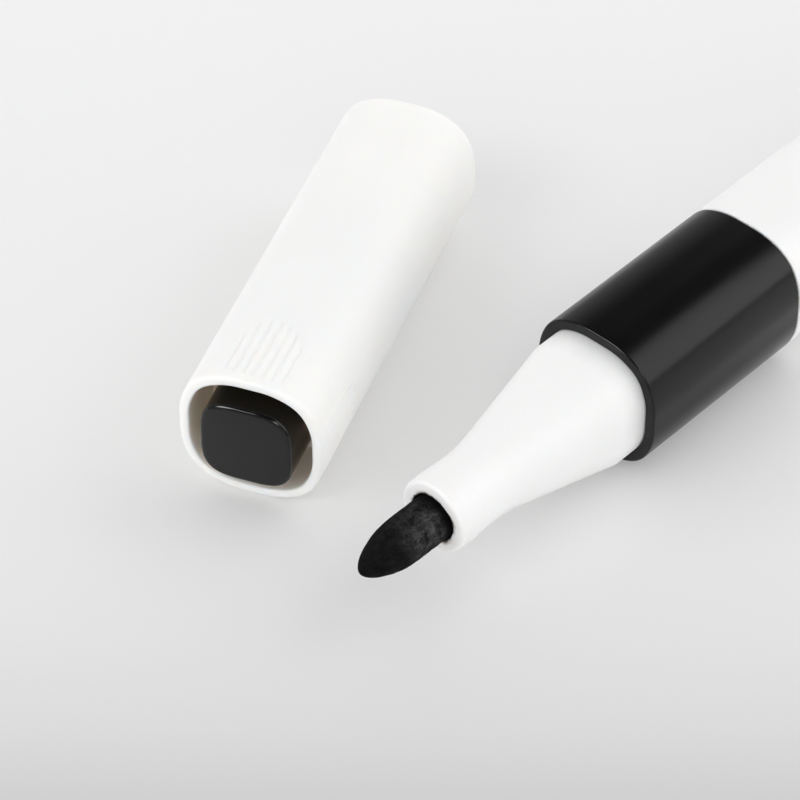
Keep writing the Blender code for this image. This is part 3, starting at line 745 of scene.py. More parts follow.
@dataclass(frozen=True, kw_only=True)
class BrightSteel(SkinFinish):
    """Drawn or ground steel whose hairlines are rougher."""

    shade: float = 0.8  # share of the colour that its tone drifts down to

    def dress(self, make: Sockets) -> dict[str, object]:
        """Tone, lines and skin of the steel.

        Args:
            make: Helper of the material's tree.

        Returns:
            What the shader's inputs take.
        """
        skin, wear_and_sheen, satin = self.skin(make)
        shade = tuple(self.shade * value for value in self.colour)
        lines = make.maths("MULTIPLY", wear_and_sheen.outputs["Hairlines"], self.mark_rough)
        return {
            "Base Color": make.mix(skin.outputs["Tone"], self.colour, shade),
            "Metallic": 1.0,
            "Roughness": make.maths("ADD", satin, lines),
            "Normal": make.bump(skin.outputs["Height"], self.depth),
        }


# The cap's inside carries a painted warm glow of light through its wall.
CAP_WHITE = PaintedGlowHollow(
    colour=(0.967, 0.953, 0.924),
    roughness=0.48,
    drift=(0.947, 0.933, 0.904),
    glow=0.6,
    glow_depth=1.0 * MM,
    marks=0.1,
    mark_colour=(0.8, 0.79, 0.77),
)
PEN_WHITE = MouldedPlastic(
    colour=(0.926, 0.925, 0.923),
    roughness=0.48,
    drift=(0.912, 0.911, 0.908),
    glow=0.3,
    marks=0.1,
    mark_colour=(0.8, 0.795, 0.785),
)
NOSE_WHITE = PaintedMouth(**asdict(PEN_WHITE))
COLLAR_BLACK = MouldedPlastic(
    colour=grey(0.0028),
    roughness=0.24,
    drift=grey(0.0036),
    satin=0.03,
    grain=7000.0,
    depth=0.0012 * MM,
    specular=0.26,
    marks=0.05,
    mark_colour=grey(0.05),
)
PLUG_BLACK = replace(
    COLLAR_BLACK, colour=grey(0.003), roughness=0.12, drift=grey(0.004), depth=0.001 * MM, specular=0.32
)
NATURAL_PLASTIC = MouldedPlastic(
    colour=(0.8, 0.795, 0.765),
    roughness=0.45,
    drift=(0.76, 0.755, 0.72),
    glow=0.35,
    marks=0.1,
    mark_colour=(0.7, 0.69, 0.66),
)
SEAL_RUBBER = MouldedPlastic(
    colour=grey(0.022),
    roughness=0.68,
    drift=(0.03, 0.03, 0.029),
    satin=0.1,
    grain=12000.0,
    depth=0.01 * MM,
    mark_colour=grey(0.12),
)
FELT = SoakedFelt(colour=(0.0022, 0.0022, 0.0023), roughness=0.92)
STEEL = BrightSteel(
    colour=(0.62, 0.62, 0.63),
    roughness=0.26,
    satin=0.08,
    grain=14000.0,
    depth=0.002 * MM,
    marks=0.6,
    mark_rough=0.2,
)


@dataclass
class Assembly:
    """Base of all sub-assemblies: places, dresses and records their pieces."""

    layout: Layout
    spot: Spot = Spot.SEAT  # frame that its pieces are built in

    def settle(self, piece: Piece, carrier: Carrier, slot: Slot, finish: Finish, *nodes: str) -> Piece:
        """Put a piece in its frame, dress it and let it stand for its CAD nodes.

        Args:
            piece: The new piece.
            carrier: The body it rides on.
            slot: The record's material slot; not used.
            finish: Its finish.
            *nodes: The CAD nodes it replaces.

        Returns:
            The same piece.
        """
        piece.matrix_world = self.layout.matrix(self.spot)
        finish.cover(piece.data, piece.name)
        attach(piece, carrier.value)
        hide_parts(*nodes)
        LOG.info("%s rides on %s", piece.name, carrier.value)
        return piece


@dataclass
class Cap(Assembly):
    """The cap: grooved shell, colour plug and inner seal; hole, stem, barb and bore are radii."""

    spot: Spot = Spot.RIM
    length: float = 40.5 * MM
    wall: float = 0.85 * MM
    pocket: float = 5.8 * MM  # depth of the pocket that holds the plug
    pocket_half: float = 5.77 * MM
    pocket_edge: float = 0.24 * MM
    web: float = 1.0 * MM  # thickness of the web behind it
    mouth_edge: float = 0.38 * MM
    mouth_inner_edge: float = 0.25 * MM
    rim_edge: float = 0.58 * MM
    count: int = 320
    groove_pitch: float = 0.88 * MM
    groove_count: int = 7  # grip grooves on each side
    groove_depth: float = 0.2 * MM
    groove_power: float = 1.6  # how narrow they are against the ribs between them
    groove_margin: float = 0.3  # pitches cut off the width of their row
    groove_fade: float = 0.2  # pitches over which the row's sides fade out
    groove_start: float = 0.7 * MM
    groove_rise: float = 0.7 * MM  # length over which they reach their depth
    groove_reach: float = 9.0 * MM  # station where the middle groove ends
    groove_fall: float = 1.0 * MM  # length over which they run out
    groove_arch: float = 0.35 / MM  # a groove ends earlier by this times its squared distance from the middle
    groove_rings: int = 44
    plug_proud: float = 1.15 * MM  # how far the plug stands out of the rim
    plug_crown: float = 0.04 * MM
    plug_edge: float = 0.42 * MM
    plug_rear_edge: float = 0.2 * MM
    plug_middle: float = 0.4 * MM
    plug_least: float = 2.2 * MM  # half width below which the face's rings only shrink
    plug_step: float = 0.6 * MM
    plug_count: int = 192
    plug_hole: float = 1.6 * MM
    stem: float = 1.5 * MM
    barb: float = 1.9 * MM
    barb_length: float = 0.9 * MM
    vent_radius: float = 0.55 * MM
    vent_over: float = 1.0 * MM  # how far the vents' drill runs past the web
    seal_bore: float = 3.72 * MM
    seal_wall: float = 0.9 * MM
    seal_front: float = 25.9 * MM
    seal_lip: float = 3.0 * MM
    seal_flare: Pair = (0.3 * MM, 0.6 * MM)  # how far the lip widens, outside and inside
    seal_skirt: float = 2.6 * MM
    seal_recess: float = 1.5 * MM
    seal_floor: float = 2.5 * MM  # distance of the cup's floor from the seal's rear
    seal_middle: float = 0.3 * MM
    seal_edges: tuple[float, ...] = tuple(  # from the recess round to the cup's floor
        edge * MM for edge in (0.2, 0.15, 0.2, 0.25, 0.3, 1.0, 0.12, 0.12, 1.0, 0.5)
    )
    seal_count: int = 128

    def grooved(self, outline: np.ndarray, station: float) -> np.ndarray:
        """Press the grip grooves into a section.

        Args:
            outline: The plain section.
            station: Its distance from the rim.

        Returns:
            The grooved section.
        """
        pressed = outline.copy()
        reach = (self.groove_count - self.groove_margin) * self.groove_pitch / 2
        start = np.clip((station - self.groove_start) / self.groove_rise, 0.0, 1.0)
        for across, along in ((0, 1), (1, 0)):
            side = np.abs(outline[:, across]) >= np.abs(outline[:, along])
            place = outline[:, along]
            wave = (0.5 + 0.5 * np.cos(2 * math.pi * place / self.groove_pitch)) ** self.groove_power
            fade = np.clip((reach - np.abs(place)) / (self.groove_fade * self.groove_pitch), 0.0, 1.0)
            stop = self.groove_reach - self.groove_arch * place**2
            end = np.clip((stop - station) / self.groove_fall, 0.0, 1.0)
            push = self.groove_depth * wave * fade * start * end * np.sign(outline[:, across])
            pressed[:, across] -= np.where(side, push, 0.0)
        return pressed

    def shell_profile(self) -> Profile:
        """Profile of the shell from the web's front, round the rim and the mouth, to the web's rear.

        Returns:
            Station and half width of each ring.
        """
        inside = BODY.half - self.wall
        corners = [
            (self.pocket, self.pocket_half, 0.0),
            (0.0, self.pocket_half, self.pocket_edge),
            (0.0, BODY.half, self.rim_edge),
            (self.length, BODY.half, self.mouth_edge),
            (self.length, inside, self.mouth_inner_edge),
            (self.pocket + self.web, inside, 0.0),
        ]
        profile = rounded(corners, steps=8)
        outside = [half > BODY.half - TINY and station < self.length / 2 for station, half in profile]
        split = len(outside) - outside[::-1].index(True)
        stations = np.linspace(self.rim_edge, self.groove_reach + self.groove_fall, self.groove_rings)[1:]
        return profile[:split] + [(float(station), BODY.half) for station in stations] + profile[split:]

    def build_shell(self) -> Piece:
        """Build the grooved shell with its web, plug hole and vents.

        Returns:
            The shell.
        """
        rear = self.pocket + self.web
        rings = []
        for station, half in self.shell_profile():
            outline = BODY.inset(half).outline(self.count)
            if half > BODY.half - TINY:
                outline = self.grooved(outline, station)
            rings.append(ring(station, outline))
        pocket = BODY.inset(self.pocket_half).outline(self.count)
        rings += [ring(station, on_circle(pocket, self.plug_hole)) for station in (rear, self.pocket)]
        shell = loft("cap_tube", rings, looped=True)
        corner = float(np.linalg.norm(pocket, axis=1).max())
        spread = (corner - self.vent_radius - SEAM) / math.sqrt(2)
        places = [(spread * y, spread * z) for y in (-1, 1) for z in (-1, 1)]
        return drill(shell, places, self.vent_radius, (self.pocket - self.vent_over, rear + self.vent_over))

    def build_plug(self) -> Piece:
        """Build the colour plug with its soft edge, slightly crowned face and barbed stem.

        Returns:
            The plug.
        """
        rear = self.pocket - SEAM
        barb = self.pocket + self.web + SEAM
        corners = [
            (-self.plug_proud - self.plug_crown, self.plug_middle, 0.0),
            (-self.plug_proud, PLUG.half, self.plug_edge),
            (rear, PLUG.half, self.plug_rear_edge),
            (rear, PLUG.half - self.plug_step, 0.0),
        ]
        rings = []
        for station, half in rounded(corners, steps=10):
            outline = PLUG.inset(max(half, self.plug_least)).outline(self.plug_count)
            rings.append(ring(station, outline * min(1.0, half / self.plug_least)))
        stem = [(rear, self.stem), (barb, self.stem), (barb, self.barb), (barb + self.barb_length, self.stem)]
        rings += rings_of(stem, lambda radius: on_circle(PLUG.outline(self.plug_count), radius))
        return loft("cap_colour_plug", rings)

    def build_seal(self) -> Piece:
        """Build the soft inner cup.

        Returns:
            The cup.
        """
        rear = self.pocket + self.web + SEAM
        recess, skirt_end, floor = rear + self.seal_recess, rear + self.seal_skirt, rear + self.seal_floor
        skirt = BODY.half - self.wall - SEAM
        wall = self.seal_bore + self.seal_wall
        lip = self.seal_front - self.seal_lip
        flare_out, flare_in = self.seal_flare
        points = [
            (recess, self.seal_middle),
            (recess, wall),
            (rear, wall),
            (rear, skirt),
            (skirt_end, skirt),
            (skirt_end, wall),
            (lip, wall),
            (self.seal_front, wall + flare_out),
            (self.seal_front, self.seal_bore + flare_in),
            (lip, self.seal_bore),
            (floor, self.seal_bore),
            (floor, self.seal_middle),
        ]
        corners = [(*point, edge) for point, edge in zip(points, (0.0, *self.seal_edges, 0.0))]
        rings = rings_of(rounded(corners), lambda radius: circle(radius, self.seal_count))
        return loft("cap_seal_cup", rings)

    def dress(self) -> None:
        """Build and dress the three pieces."""
        self.settle(self.build_shell(), Carrier.CAP, Slot.WHITE, CAP_WHITE, "cap_shell")
        self.settle(self.build_plug(), Carrier.CAP, Slot.BLACK, PLUG_BLACK, "cap_end_plug")
        self.settle(self.build_seal(), Carrier.CAP, Slot.NATURAL, NATURAL_PLASTIC, "cap_inner_seal")


@dataclass
class PenFront(Assembly):
    """Nose, nib and collar; waist, bead and mouth are radii, and back is a distance behind the lip."""

    nose_length: float = 21.4 * MM  # ahead of the seat
    base_half: float = 5.67 * MM
    base_length: float = 2.6 * MM  # straight base behind the cone
    base_lead: float = 0.2 * MM  # how far behind the cone the base's next ring stands
    waist: float = 3.5 * MM
    waist_back: float = 4.8 * MM
    waist_length: float = 0.4 * MM
    cone_ease: float = 0.22  # share of the cone that swells from the waist before it runs straight
    bead: float = 3.62 * MM
    bead_back: float = 1.7 * MM
    bead_slope: float = 0.04 * MM  # how much narrower the lip is than the bead
    mouth: float = 2.3 * MM
    lip_face: float = 0.3 * MM  # distance from the mouth at which the lip's first ring stands
    lip_seam: float = 0.01 * MM  # how far short of it the bores' last ring stops
    spout_edges: Triple = (0.45 * MM, 0.8 * MM, 1.2 * MM)  # of lip, bead and waist
    shank: float = 7.0 * MM  # station of the shank's end in the collar
    shank_edge: float = 0.2 * MM
    spigot_foot: float = 0.4 * MM  # distance from the spigot at which the shank's last ring stands
    spigot_radius: float = 4.6 * MM
    spigot_rear: float = 12.0 * MM
    chamber_radius: float = 3.1 * MM  # chamber for the nib's holder
    chamber_front: float = 2.05 * MM
    bore_edges: Triple = (0.3 * MM, 0.1 * MM, 0.32 * MM)  # spigot's end, outside and inside, and mouth
    cone_rings: int = 42
    nib_gap: float = 0.15 * MM
    nib_radius: float = 2.2 * MM
    nib_tip: float = 30.45 * MM  # distance of the tip ahead of the seat
    nib_rear: float = 7.7 * MM
    nib_chamfer: float = 0.4 * MM
    nib_count: int = 160
    point_length: float = 5.35 * MM
    point_power: float = 1.73
    point_start: float = 0.03  # angle of the point's first ring; its last has a right angle
    point_rings: int = 56
    felt_rings: int = 46
    felt_back: float = 2.0 * MM
    felt_cells: tuple[float, ...] = (1300.0, 900.0, 3400.0, 6500.0)  # clumps, strands along and across, fuzz
    felt_relief: float = 0.012  # height of each relief as a share of the radius
    felt_shrink: float = 0.99  # mean share of the radius that the relief leaves
    felt_sharp: float = 80.0  # angle in degrees above which the felt's edges stay sharp
    collar_length: float = 20.2 * MM
    collar_front: float = -0.05 * MM  # its lip stands just ahead of the seat
    collar_edge: float = 0.2 * MM
    collar_inner_edges: Pair = (0.06 * MM, 0.1 * MM)
    rib: Pair = (7.1 * MM, 8.1 * MM)  # stations of the rib inside the collar
    rib_radius: float = 4.75 * MM
    count: int = 224

    def nose_outline(self, station: float) -> np.ndarray:
        """Outer section of the nose's cone at a station between its waist and its base.

        Args:
            station: Distance ahead of the seat.

        Returns:
            The section's points.
        """
        base = BODY.inset(self.base_half).outline(self.count)
        start = self.nose_length - self.waist_back
        share = (start - station) / (start - self.base_length)
        ease = self.cone_ease
        if share < ease:
            grown = share**2 / (2 * ease) / (1 - ease / 2)
        else:
            grown = (share - ease / 2) / (1 - ease / 2)
        grown = min(max(grown, 0.0), 1.0)
        return on_circle(base, self.waist) * (1 - grown) + base * grown

    def build_nose(self) -> Piece:
        """Build the nose: lip, bead, waist, cone, base, shank and bores.

        Returns:
            The nose.
        """
        base = BODY.inset(self.base_half).outline(self.count)
        lip = -self.nose_length
        lip_edge, bead_edge, waist_edge = self.spout_edges
        spout = [
            (lip, self.mouth + self.lip_face, 0.0),
            (lip, self.bead - self.bead_slope, lip_edge),
            (lip + self.bead_back, self.bead, bead_edge),
            (lip + self.waist_back - self.waist_length, self.waist, waist_edge),
            (lip + self.waist_back, self.waist, 0.0),
        ]
        rings = round_rings(spout, base, steps=8)
        for station in np.linspace(self.nose_length - self.waist_back, self.base_length, self.cone_rings)[1:]:
            rings.append(ring(-station, self.nose_outline(float(station))))
        straight = [
            (-self.base_length + self.base_lead, self.base_half, 0.0),
            (self.shank, self.base_half, self.shank_edge),
            (self.shank, self.spigot_radius + self.spigot_foot, 0.0),
        ]
        rings += square_rings(straight, self.count)
        outer_edge, inner_edge, mouth_edge = self.bore_edges
        bores = [
            (self.shank, self.spigot_radius, 0.0),
            (self.spigot_rear, self.spigot_radius, outer_edge),
            (self.spigot_rear, self.chamber_radius, inner_edge),
            (self.chamber_front, self.chamber_radius, 0.0),
            (self.chamber_front, self.nib_radius + self.nib_gap, 0.0),
            (lip, self.mouth, mouth_edge),
            (lip, self.mouth + self.lip_face - self.lip_seam, 0.0),
        ]
        return loft("nose_moulding", rings + round_rings(bores, base), looped=True)

    def build_nib(self) -> Piece:
        """Build the felt nib: a bullet with matted fibre relief.

        Returns:
            The nib.
        """
        power = 2 / self.point_power
        point_rear = -self.nib_tip + self.point_length
        felt_rear = -self.nose_length + self.felt_back
        profile: Profile = []
        for angle in np.linspace(self.point_start, math.pi / 2, self.point_rings):
            ahead = self.point_length * max(math.cos(angle), 0.0) ** power
            profile.append((point_rear - ahead, self.nib_radius * math.sin(angle) ** power))
        for station in np.linspace(point_rear, felt_rear, self.felt_rings)[1:]:
            profile.append((float(station), self.nib_radius))
        profile.append((self.nib_rear - self.nib_chamfer, self.nib_radius))
        profile.append((self.nib_rear, self.nib_radius - self.nib_chamfer))
        rings = rings_of(profile, lambda radius: circle(radius, self.nib_count))
        clumps, along, across, fuzz = self.felt_cells
        scales = ((clumps,) * 3, (along, across, across), (fuzz,) * 3)
        for section in rings:
            if section[0, 0] > felt_rear:
                continue
            for row in section:
                relief = sum(noise.noise(Vector(row) * Vector(scale)) for scale in scales)
                row[1:] *= self.felt_shrink + self.felt_relief * relief
        return loft("felt_nib", rings, sharp=self.felt_sharp)

    def build_collar(self) -> Piece:
        """Build the collar: crisp front lip, soft edges and inner rib.

        Returns:
            The collar.
        """
        inside = self.base_half + SEAM
        rib_front, rib_rear = self.rib
        front_edge, rear_edge = self.collar_inner_edges
        corners = [
            (rib_front, inside, 0.0),
            (self.collar_front, inside, front_edge),
            (self.collar_front, BODY.half, self.collar_edge),
            (self.collar_length, BODY.half, self.collar_edge),
            (self.collar_length, inside, rear_edge),
            (rib_rear, inside, 0.0),
        ]
        rings = square_rings(corners, self.count)
        base = BODY.outline(self.count)
        rings += [ring(station, on_circle(base, self.rib_radius)) for station in (rib_rear, rib_front)]
        return loft("collar_sleeve", rings, looped=True)

    def dress(self) -> None:
        """Build and dress the front's pieces."""
        self.settle(self.build_nose(), Carrier.PEN, Slot.WHITE, NOSE_WHITE, "nose")
        self.settle(self.build_nib(), Carrier.NIB, Slot.FELT, FELT, "nib")
        self.settle(self.build_collar(), Carrier.PEN, Slot.BLACK, COLLAR_BLACK, "collar")


@dataclass
class PenBody(Assembly):
    """Barrel and tail plug; the bore and the reservoir are given as radii."""

    neck_front: float = 8.2 * MM
    neck_half: float = 5.67 * MM
    neck_step: float = 0.6 * MM
    neck_edge: float = 0.2 * MM
    shoulder: float = 20.3 * MM  # front of the barrel's visible body
    length: float = 82.0 * MM  # of that body
    edge: float = 0.2 * MM
    end_step: float = 1.6 * MM
    front_bore: float = 4.75 * MM
    reservoir: float = 4.4 * MM
    reservoir_front: float = 25.2 * MM
    tail: float = 3.0 * MM  # thickness of the plug's head
    tail_edge: float = 0.9 * MM
    tail_step: float = 2.2 * MM
    spigot_length: float = 7.0 * MM
    spigot_edge: float = 0.4 * MM
    spigot_middle: float = 1.0 * MM
    groove_back: float = 4.3 * MM  # distance of the seal groove's front from the head
    groove_width: float = 1.6 * MM
    groove_depth: float = 0.85 * MM
    groove_edges: Pair = (0.05 * MM, 0.1 * MM)  # of its rims and of its floor
    count: int = 224

    def build_barrel(self) -> Piece:
        """Build the barrel: neck, body and bores.

        Returns:
            The barrel.
        """
        rear = self.shoulder + self.length
        corners = [
            (self.neck_front, self.neck_half - self.neck_step, 0.0),
            (self.neck_front, self.neck_half, self.neck_edge),
            (self.shoulder, self.neck_half, 0.0),
            (self.shoulder, BODY.half, self.edge),
            (rear, BODY.half, self.edge),
            (rear, BODY.half - self.end_step, 0.0),
        ]
        bores = [
            (rear, self.reservoir, 0.0),
            (self.reservoir_front, self.reservoir, 0.0),
            (self.reservoir_front, self.front_bore, 0.0),
            (self.neck_front, self.front_bore, 0.0),
        ]
        rings = square_rings(corners, self.count) + round_rings(bores, BODY.outline(self.count))
        return loft("barrel_tube", rings, looped=True)

    def build_tail(self) -> Piece:
        """Build the tail plug: spigot with its seal groove, and rounded head.

        Returns:
            The tail plug.
        """
        front = self.shoulder + self.length + SEAM
        rear = front + self.tail
        spigot = self.reservoir - SEAM
        floor = spigot - self.groove_depth
        groove = front - self.groove_back
        rim_edge, floor_edge = self.groove_edges
        stem = [
            (front - self.spigot_length, self.spigot_middle, 0.0),
            (front - self.spigot_length, spigot, self.spigot_edge),
            (groove, spigot, rim_edge),
            (groove, floor, floor_edge),
            (groove + self.groove_width, floor, floor_edge),
            (groove + self.groove_width, spigot, rim_edge),
            (front, spigot, 0.0),
        ]
        head = [
            (front, BODY.half - self.end_step, 0.0),
            (front, BODY.half, self.edge),
            (rear, BODY.half, self.tail_edge),
            (rear, BODY.half - self.tail_step, 0.0),
        ]
        rings = round_rings(stem, BODY.outline(self.count)) + square_rings(head, self.count, steps=10)
        return loft("tail_closure", rings)

    def dress(self) -> None:
        """Build and dress barrel and tail."""
        self.settle(self.build_barrel(), Carrier.PEN, Slot.WHITE, PEN_WHITE, "barrel")
        self.settle(self.build_tail(), Carrier.PEN, Slot.WHITE, PEN_WHITE, "tail_plug")


@dataclass
class Insides(Assembly):
    """The valve spring, and the finishes of the hidden CAD pieces that stay as they are."""

    spring_front: float = 16.2 * MM  # station of the end that the poppet pushes
    spring_length: float = 7.0 * MM  # at rest
    spring_stroke: float = 2.0 * MM  # how far it is pressed together
    coil: float = 1.85 * MM  # mean radius of the coils
    wire: float = 0.25 * MM  # radius of the wire
    turns: int = 6  # of which the first and the last lie closed
    closed: float = 2.1  # rise of a closed turn in wire radii
    turn_rings: int = 40  # rings of each turn
    wire_count: int = 14
    wire_sharp: float = 50.0  # angle in degrees above which the wire's edges stay sharp
    finishes: dict[str, Finish] = field(  # of the CAD nodes that stay as they are
        default_factory=lambda: {
            "nib_holder": NATURAL_PLASTIC,
            "valve_housing": NATURAL_PLASTIC,
            "valve_poppet": NATURAL_PLASTIC,
            "spring_retainer": NATURAL_PLASTIC,
            "valve_seat": SEAL_RUBBER,
            "neck_seal": SEAL_RUBBER,
            "tail_seal": SEAL_RUBBER,
            "mixing_ball": STEEL,
        }
    )

    def build_spring(self) -> Piece:
        """Build the coil spring with closed end turns.

        Returns:
            The spring.
        """
        rise = self.closed * self.wire
        run = self.spring_length - 2 * self.wire
        pitch = run / self.turns / (2 * math.pi)
        ends = [0.0, 1.0, self.turns - 1.0, self.turns]
        section = circle(self.wire, self.wire_count)
        rings = []
        for turn in np.linspace(0.0, self.turns, self.turn_rings * self.turns + 1):
            along = float(np.interp(turn, ends, [0.0, rise, run - rise, run]))
            angle = 2 * math.pi * float(turn)
            outward = np.array((0.0, math.cos(angle), math.sin(angle)))
            middle = self.coil * outward + np.array((self.spring_front + self.wire + along, 0.0, 0.0))
            forward = np.array((pitch, -self.coil * math.sin(angle), self.coil * math.cos(angle)))
            side = np.cross(forward / np.linalg.norm(forward), outward)
            rings.append(middle + section[:, :1] * outward + section[:, 1:] * side)
        return loft("coil_spring", rings, sharp=self.wire_sharp)

    def dress(self, nodes: dict[str, Piece]) -> None:
        """Set the spring, and give each node left showing its own procedural material.

        Args:
            nodes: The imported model's objects by name.
        """
        spring = self.settle(self.build_spring(), Carrier.PEN, Slot.STEEL, STEEL, "valve_spring")
        frame = self.layout.matrix(self.spot)
        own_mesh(spring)
        for name, finish in self.finishes.items():
            finish.cover(nodes[name].data, name)
            LOG.info("%s dressed", name)


@dataclass(frozen=True)
class Lamp:
    """A rectangular lamp that faces the picture's centre and shows in no reflection."""

    name: str
    place: Triple  # right of, beyond and above the target
    size: Pair  # width and height
    power: float  # in watts


@dataclass(frozen=True)
class Softbox:
    """A bright rectangle of the surroundings that only reflections show."""

    place: Triple  # right of, beyond and above the target
    spread: Pair  # half width and half height, as sines of their angles
    glow: float


@dataclass
class Studio:
    """Table, light and camera; its angles are in degrees, its lens and sensor in millimetres."""

    target: Vector = field(default_factory=lambda: Vector((-56.873, 41.988, 0.0)) * MM)  # picture's centre
    azimuth: float = -69.998
    elevation: float = 43.614
    distance: float = 369.24 * MM
    lens: float = 183.4
    sensor: float = 36.0
    clip: Pair = (0.01, 50.0)  # nearest and farthest distance that the camera sees
    lamps: tuple[Lamp, ...] = (
        Lamp("left_lamp", (-0.61, -0.41, 0.68), (0.5, 0.36), 1.4),
        Lamp("right_lamp", (0.73, 0.33, 0.6), (0.7, 0.6), 1.6),
    )
    boxes: tuple[Softbox, ...] = (  # left, right and beside the camera
        Softbox((-0.66, -0.28, 0.69), (0.25, 0.22), 14.0),
        Softbox((0.82, -0.06, 0.56), (0.4, 0.45), 2.25),
        Softbox((0.12, -0.82, 0.55), (0.16, 0.18), 11.0),
    )
    box_fade: Pair = (0.9, 1.1)  # shares of a soft box's half size over which it fades out
    box_front: Pair = (0.0, 0.1)  # cosines of the angle from its middle over which it starts
    room: Stops = (  # tones of the room in reflections, from the horizon up
        (0.0, grey(0.5)),
        (0.12, grey(0.5)),
        (0.25, grey(0.49)),
        (0.4, grey(0.4)),
        (0.55, grey(0.24)),
        (0.68, grey(0.09)),
        (1.0, grey(0.06)),
    )
    fill_from: float = 0.3  # height, as a sine, up to which the even light has its low value
    low_fill: float = 1.36  # even light from low down all round
    top_fill: float = 0.4  # even light from overhead
    backdrop: float = 0.87  # tone of the surroundings in the picture
    table_half: float = 4.0
    table_span: Pair = (-60.0 * MM, 60.0 * MM)  # distances beyond the target that the tones run over
    table_tones: Stops = (  # from the near side to the far side, painted shade darker towards the camera
        (0.0, grey(0.53)),
        (0.083, grey(0.61)),
        (0.167, grey(0.72)),
        (0.25, grey(0.785)),
        (0.34, grey(0.832)),
        (0.6, grey(0.868)),
        (1.0, (0.9, 0.9, 0.903)),
    )
    table_cells: float = 40.0  # satin patches
    table_rough: Pair = (0.3, 0.36)  # roughness between which these vary
    table_specular: float = 0.3
    glow_share: float = 0.22  # how far the table shows its plain colour, whatever falls on it

    def spot(self, right: float, away: float, up: float) -> Vector:
        """A point given from the camera's side of the table.

        Args:
            right: Metres to the camera's right of the target.
            away: Metres beyond the target.
            up: Height above the table.

        Returns:
            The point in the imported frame.
        """
        turn = math.radians(self.azimuth)
        across = Vector((math.cos(turn), math.sin(turn), 0.0))
        ahead = Vector((-math.sin(turn), math.cos(turn), 0.0))
        return self.target + across * right + ahead * away + Vector((0.0, 0.0, up))

    def aim(self, name: str, data: bpy.types.ID, place: Vector) -> Piece:
        """Set a camera or a lamp up so that it faces the target.

        Args:
            name: Its name.
            data: The camera's or lamp's data.
            place: Its place.

        Returns:
            The new object.
        """
        made = bpy.data.objects.new(name, data)
        made.location = place
        made.rotation_euler = (self.target - place).to_track_quat("-Z", "Y").to_euler()
        bpy.context.scene.collection.objects.link(made)
        return made

    def add_camera(self) -> None:
        """Place the camera at the photograph's view."""
        data = bpy.data.cameras.new("view")
        data.lens, data.sensor_width = self.lens, self.sensor
        data.clip_start, data.clip_end = self.clip
        rise = math.radians(self.elevation)
        back = self.spot(0.0, -self.distance * math.cos(rise), self.distance * math.sin(rise))
        bpy.context.scene.camera = self.aim("view", data, back)

    def add_lamp(self, lamp: Lamp) -> None:
        """Hang up a lamp.

        Args:
            lamp: The lamp.
        """
        data = bpy.data.lights.new(lamp.name, "AREA")
        data.shape = "RECTANGLE"
        data.size, data.size_y = lamp.size
        data.energy = lamp.power
        self.aim(lamp.name, data, self.spot(*lamp.place)).visible_glossy = False

    def table_paper(self) -> bpy.types.Material:
        """Make the table's pale satin material, which glows a little where it is seen.

        Returns:
            The new material.
        """
        made = bpy.data.materials.new("table_paper")
        made.use_nodes = True
        nodes = made.node_tree.nodes
        make = Sockets(made.node_tree)
        place = make.place()
        # Painted shade: the table's colour darkens towards the camera.
        tone = make.tones(make.ramp(make.split(place)["Y"], self.table_span), self.table_tones)
        patches = make.noise(place, self.table_cells, detail=3.0)
        shader = nodes["Principled BSDF"]
        make.feed(shader.inputs["Base Color"], tone)
        make.feed(shader.inputs["Roughness"], make.ramp(patches, NOISE_SPAN, self.table_rough))
        make.feed(shader.inputs["Specular IOR Level"], self.table_specular)
        path = make.node("ShaderNodeLightPath").outputs
        seen = path["Is Camera Ray"]
        for ray in ("Is Glossy Ray", "Is Transmission Ray"):
            seen = make.maths("MAXIMUM", seen, path[ray])
        plain = make.node("ShaderNodeEmission", {"Color": tone}).outputs["Emission"]
        share = make.maths("MULTIPLY", seen, self.glow_share)
        both = make.node("ShaderNodeMixShader", {0: share, 1: shader.outputs["BSDF"], 2: plain})
        make.feed(nodes["Material Output"].inputs["Surface"], both.outputs["Shader"])
        return made

    def add_table(self) -> None:
        """Lay the pale table, with painted shade that makes it a little darker towards the camera."""
        mesh = bpy.data.meshes.new("table")
        shape = bmesh.new()
        bmesh.ops.create_grid(shape, x_segments=4, y_segments=4, size=self.table_half)
        shape.to_mesh(mesh)
        shape.free()
        mesh.materials.append(self.table_paper())
        table = bpy.data.objects.new("table", mesh)
        table.location = self.target
        table.rotation_euler = (0.0, 0.0, math.radians(self.azimuth))
        bpy.context.scene.collection.objects.link(table)

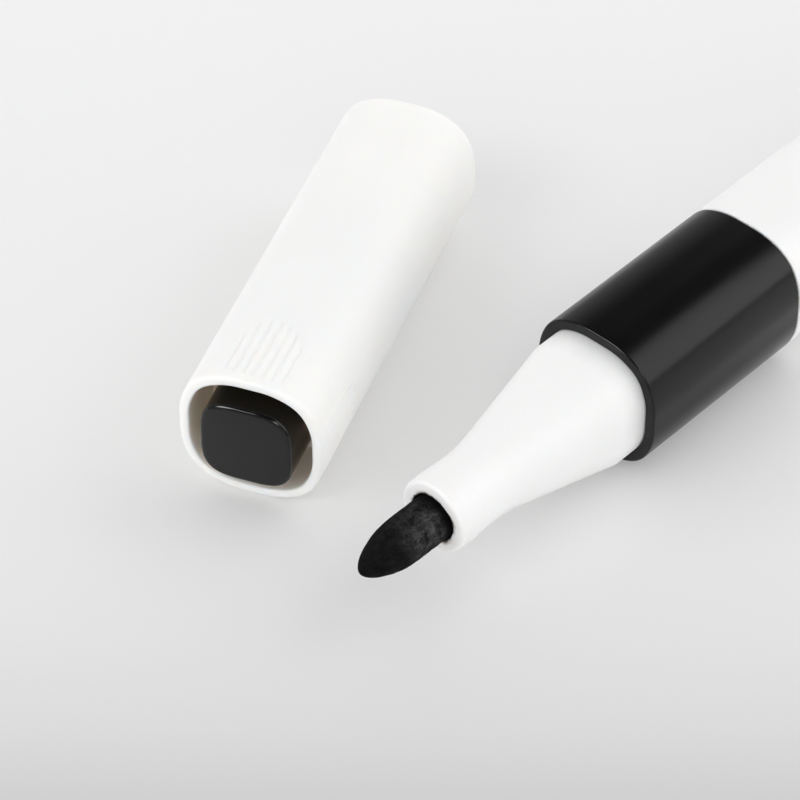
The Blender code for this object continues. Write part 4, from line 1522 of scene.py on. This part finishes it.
    def mask(self, make: Sockets, way: Socket, box: Softbox) -> Socket:
        """Mask of a soft box in the surroundings.

        Args:
            make: Helper of the surroundings' tree.
            way: Direction that is looked at.
            box: The soft box.

        Returns:
            The mask from 0 to 1.
        """
        ahead = (self.spot(*box.place) - self.target).normalized()
        across = Vector((-ahead.y, ahead.x, 0.0)).normalized()
        near, far = self.box_fade
        masks = []
        for axis, half in zip((across, ahead.cross(across)), box.spread):
            reach = make.maths("ABSOLUTE", make.measure("DOT_PRODUCT", way, axis[:]))
            masks.append(make.ramp(reach, (near * half, far * half), FALLING))
        front = make.ramp(make.measure("DOT_PRODUCT", way, ahead[:]), self.box_front)
        return make.times(*masks, front)

    def add_world(self) -> None:
        """Set the surroundings: an even fill, and for reflections a dim room with the soft boxes."""
        world = bpy.data.worlds.new("surroundings")
        world.use_nodes = True
        bpy.context.scene.world = world
        make = Sockets(world.node_tree)
        way = make.node("ShaderNodeTexCoord").outputs["Generated"]
        height = make.split(way)["Z"]
        mirrored = make.tones(height, self.room)
        for box in self.boxes:
            mirrored = make.mix(self.mask(make, way, box), mirrored, grey(box.glow))
        fill = make.ramp(height, (self.fill_from, 1.0), (self.low_fill, self.top_fill))
        path = make.node("ShaderNodeLightPath").outputs
        lit = make.mix(path["Is Glossy Ray"], fill, mirrored)
        seen = make.mix(path["Is Camera Ray"], lit, grey(self.backdrop))
        make.feed(world.node_tree.nodes["Background"].inputs["Color"], seen)

    def build(self) -> None:
        """Build camera, table, lamps and surroundings."""
        self.add_camera()
        self.add_table()
        for lamp in self.lamps:
            self.add_lamp(lamp)
        self.add_world()
        bpy.context.scene.view_settings.view_transform = "Standard"
        LOG.info("table, %d lamps and %d soft boxes set up", len(self.lamps), len(self.boxes))


def main() -> None:
    """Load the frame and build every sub-assembly in order."""
    logging.basicConfig(level=logging.INFO, format="%(name)s: %(message)s")
    for item in list(bpy.data.objects):
        bpy.data.objects.remove(item, do_unlink=True)
    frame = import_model()
    layout = Layout()
    Studio().build()
    Cap(layout).dress()
    PenFront(layout).dress()
    PenBody(layout).dress()
    Insides(layout).dress(frame["nodes"])


if __name__ == "__main__":
    main()
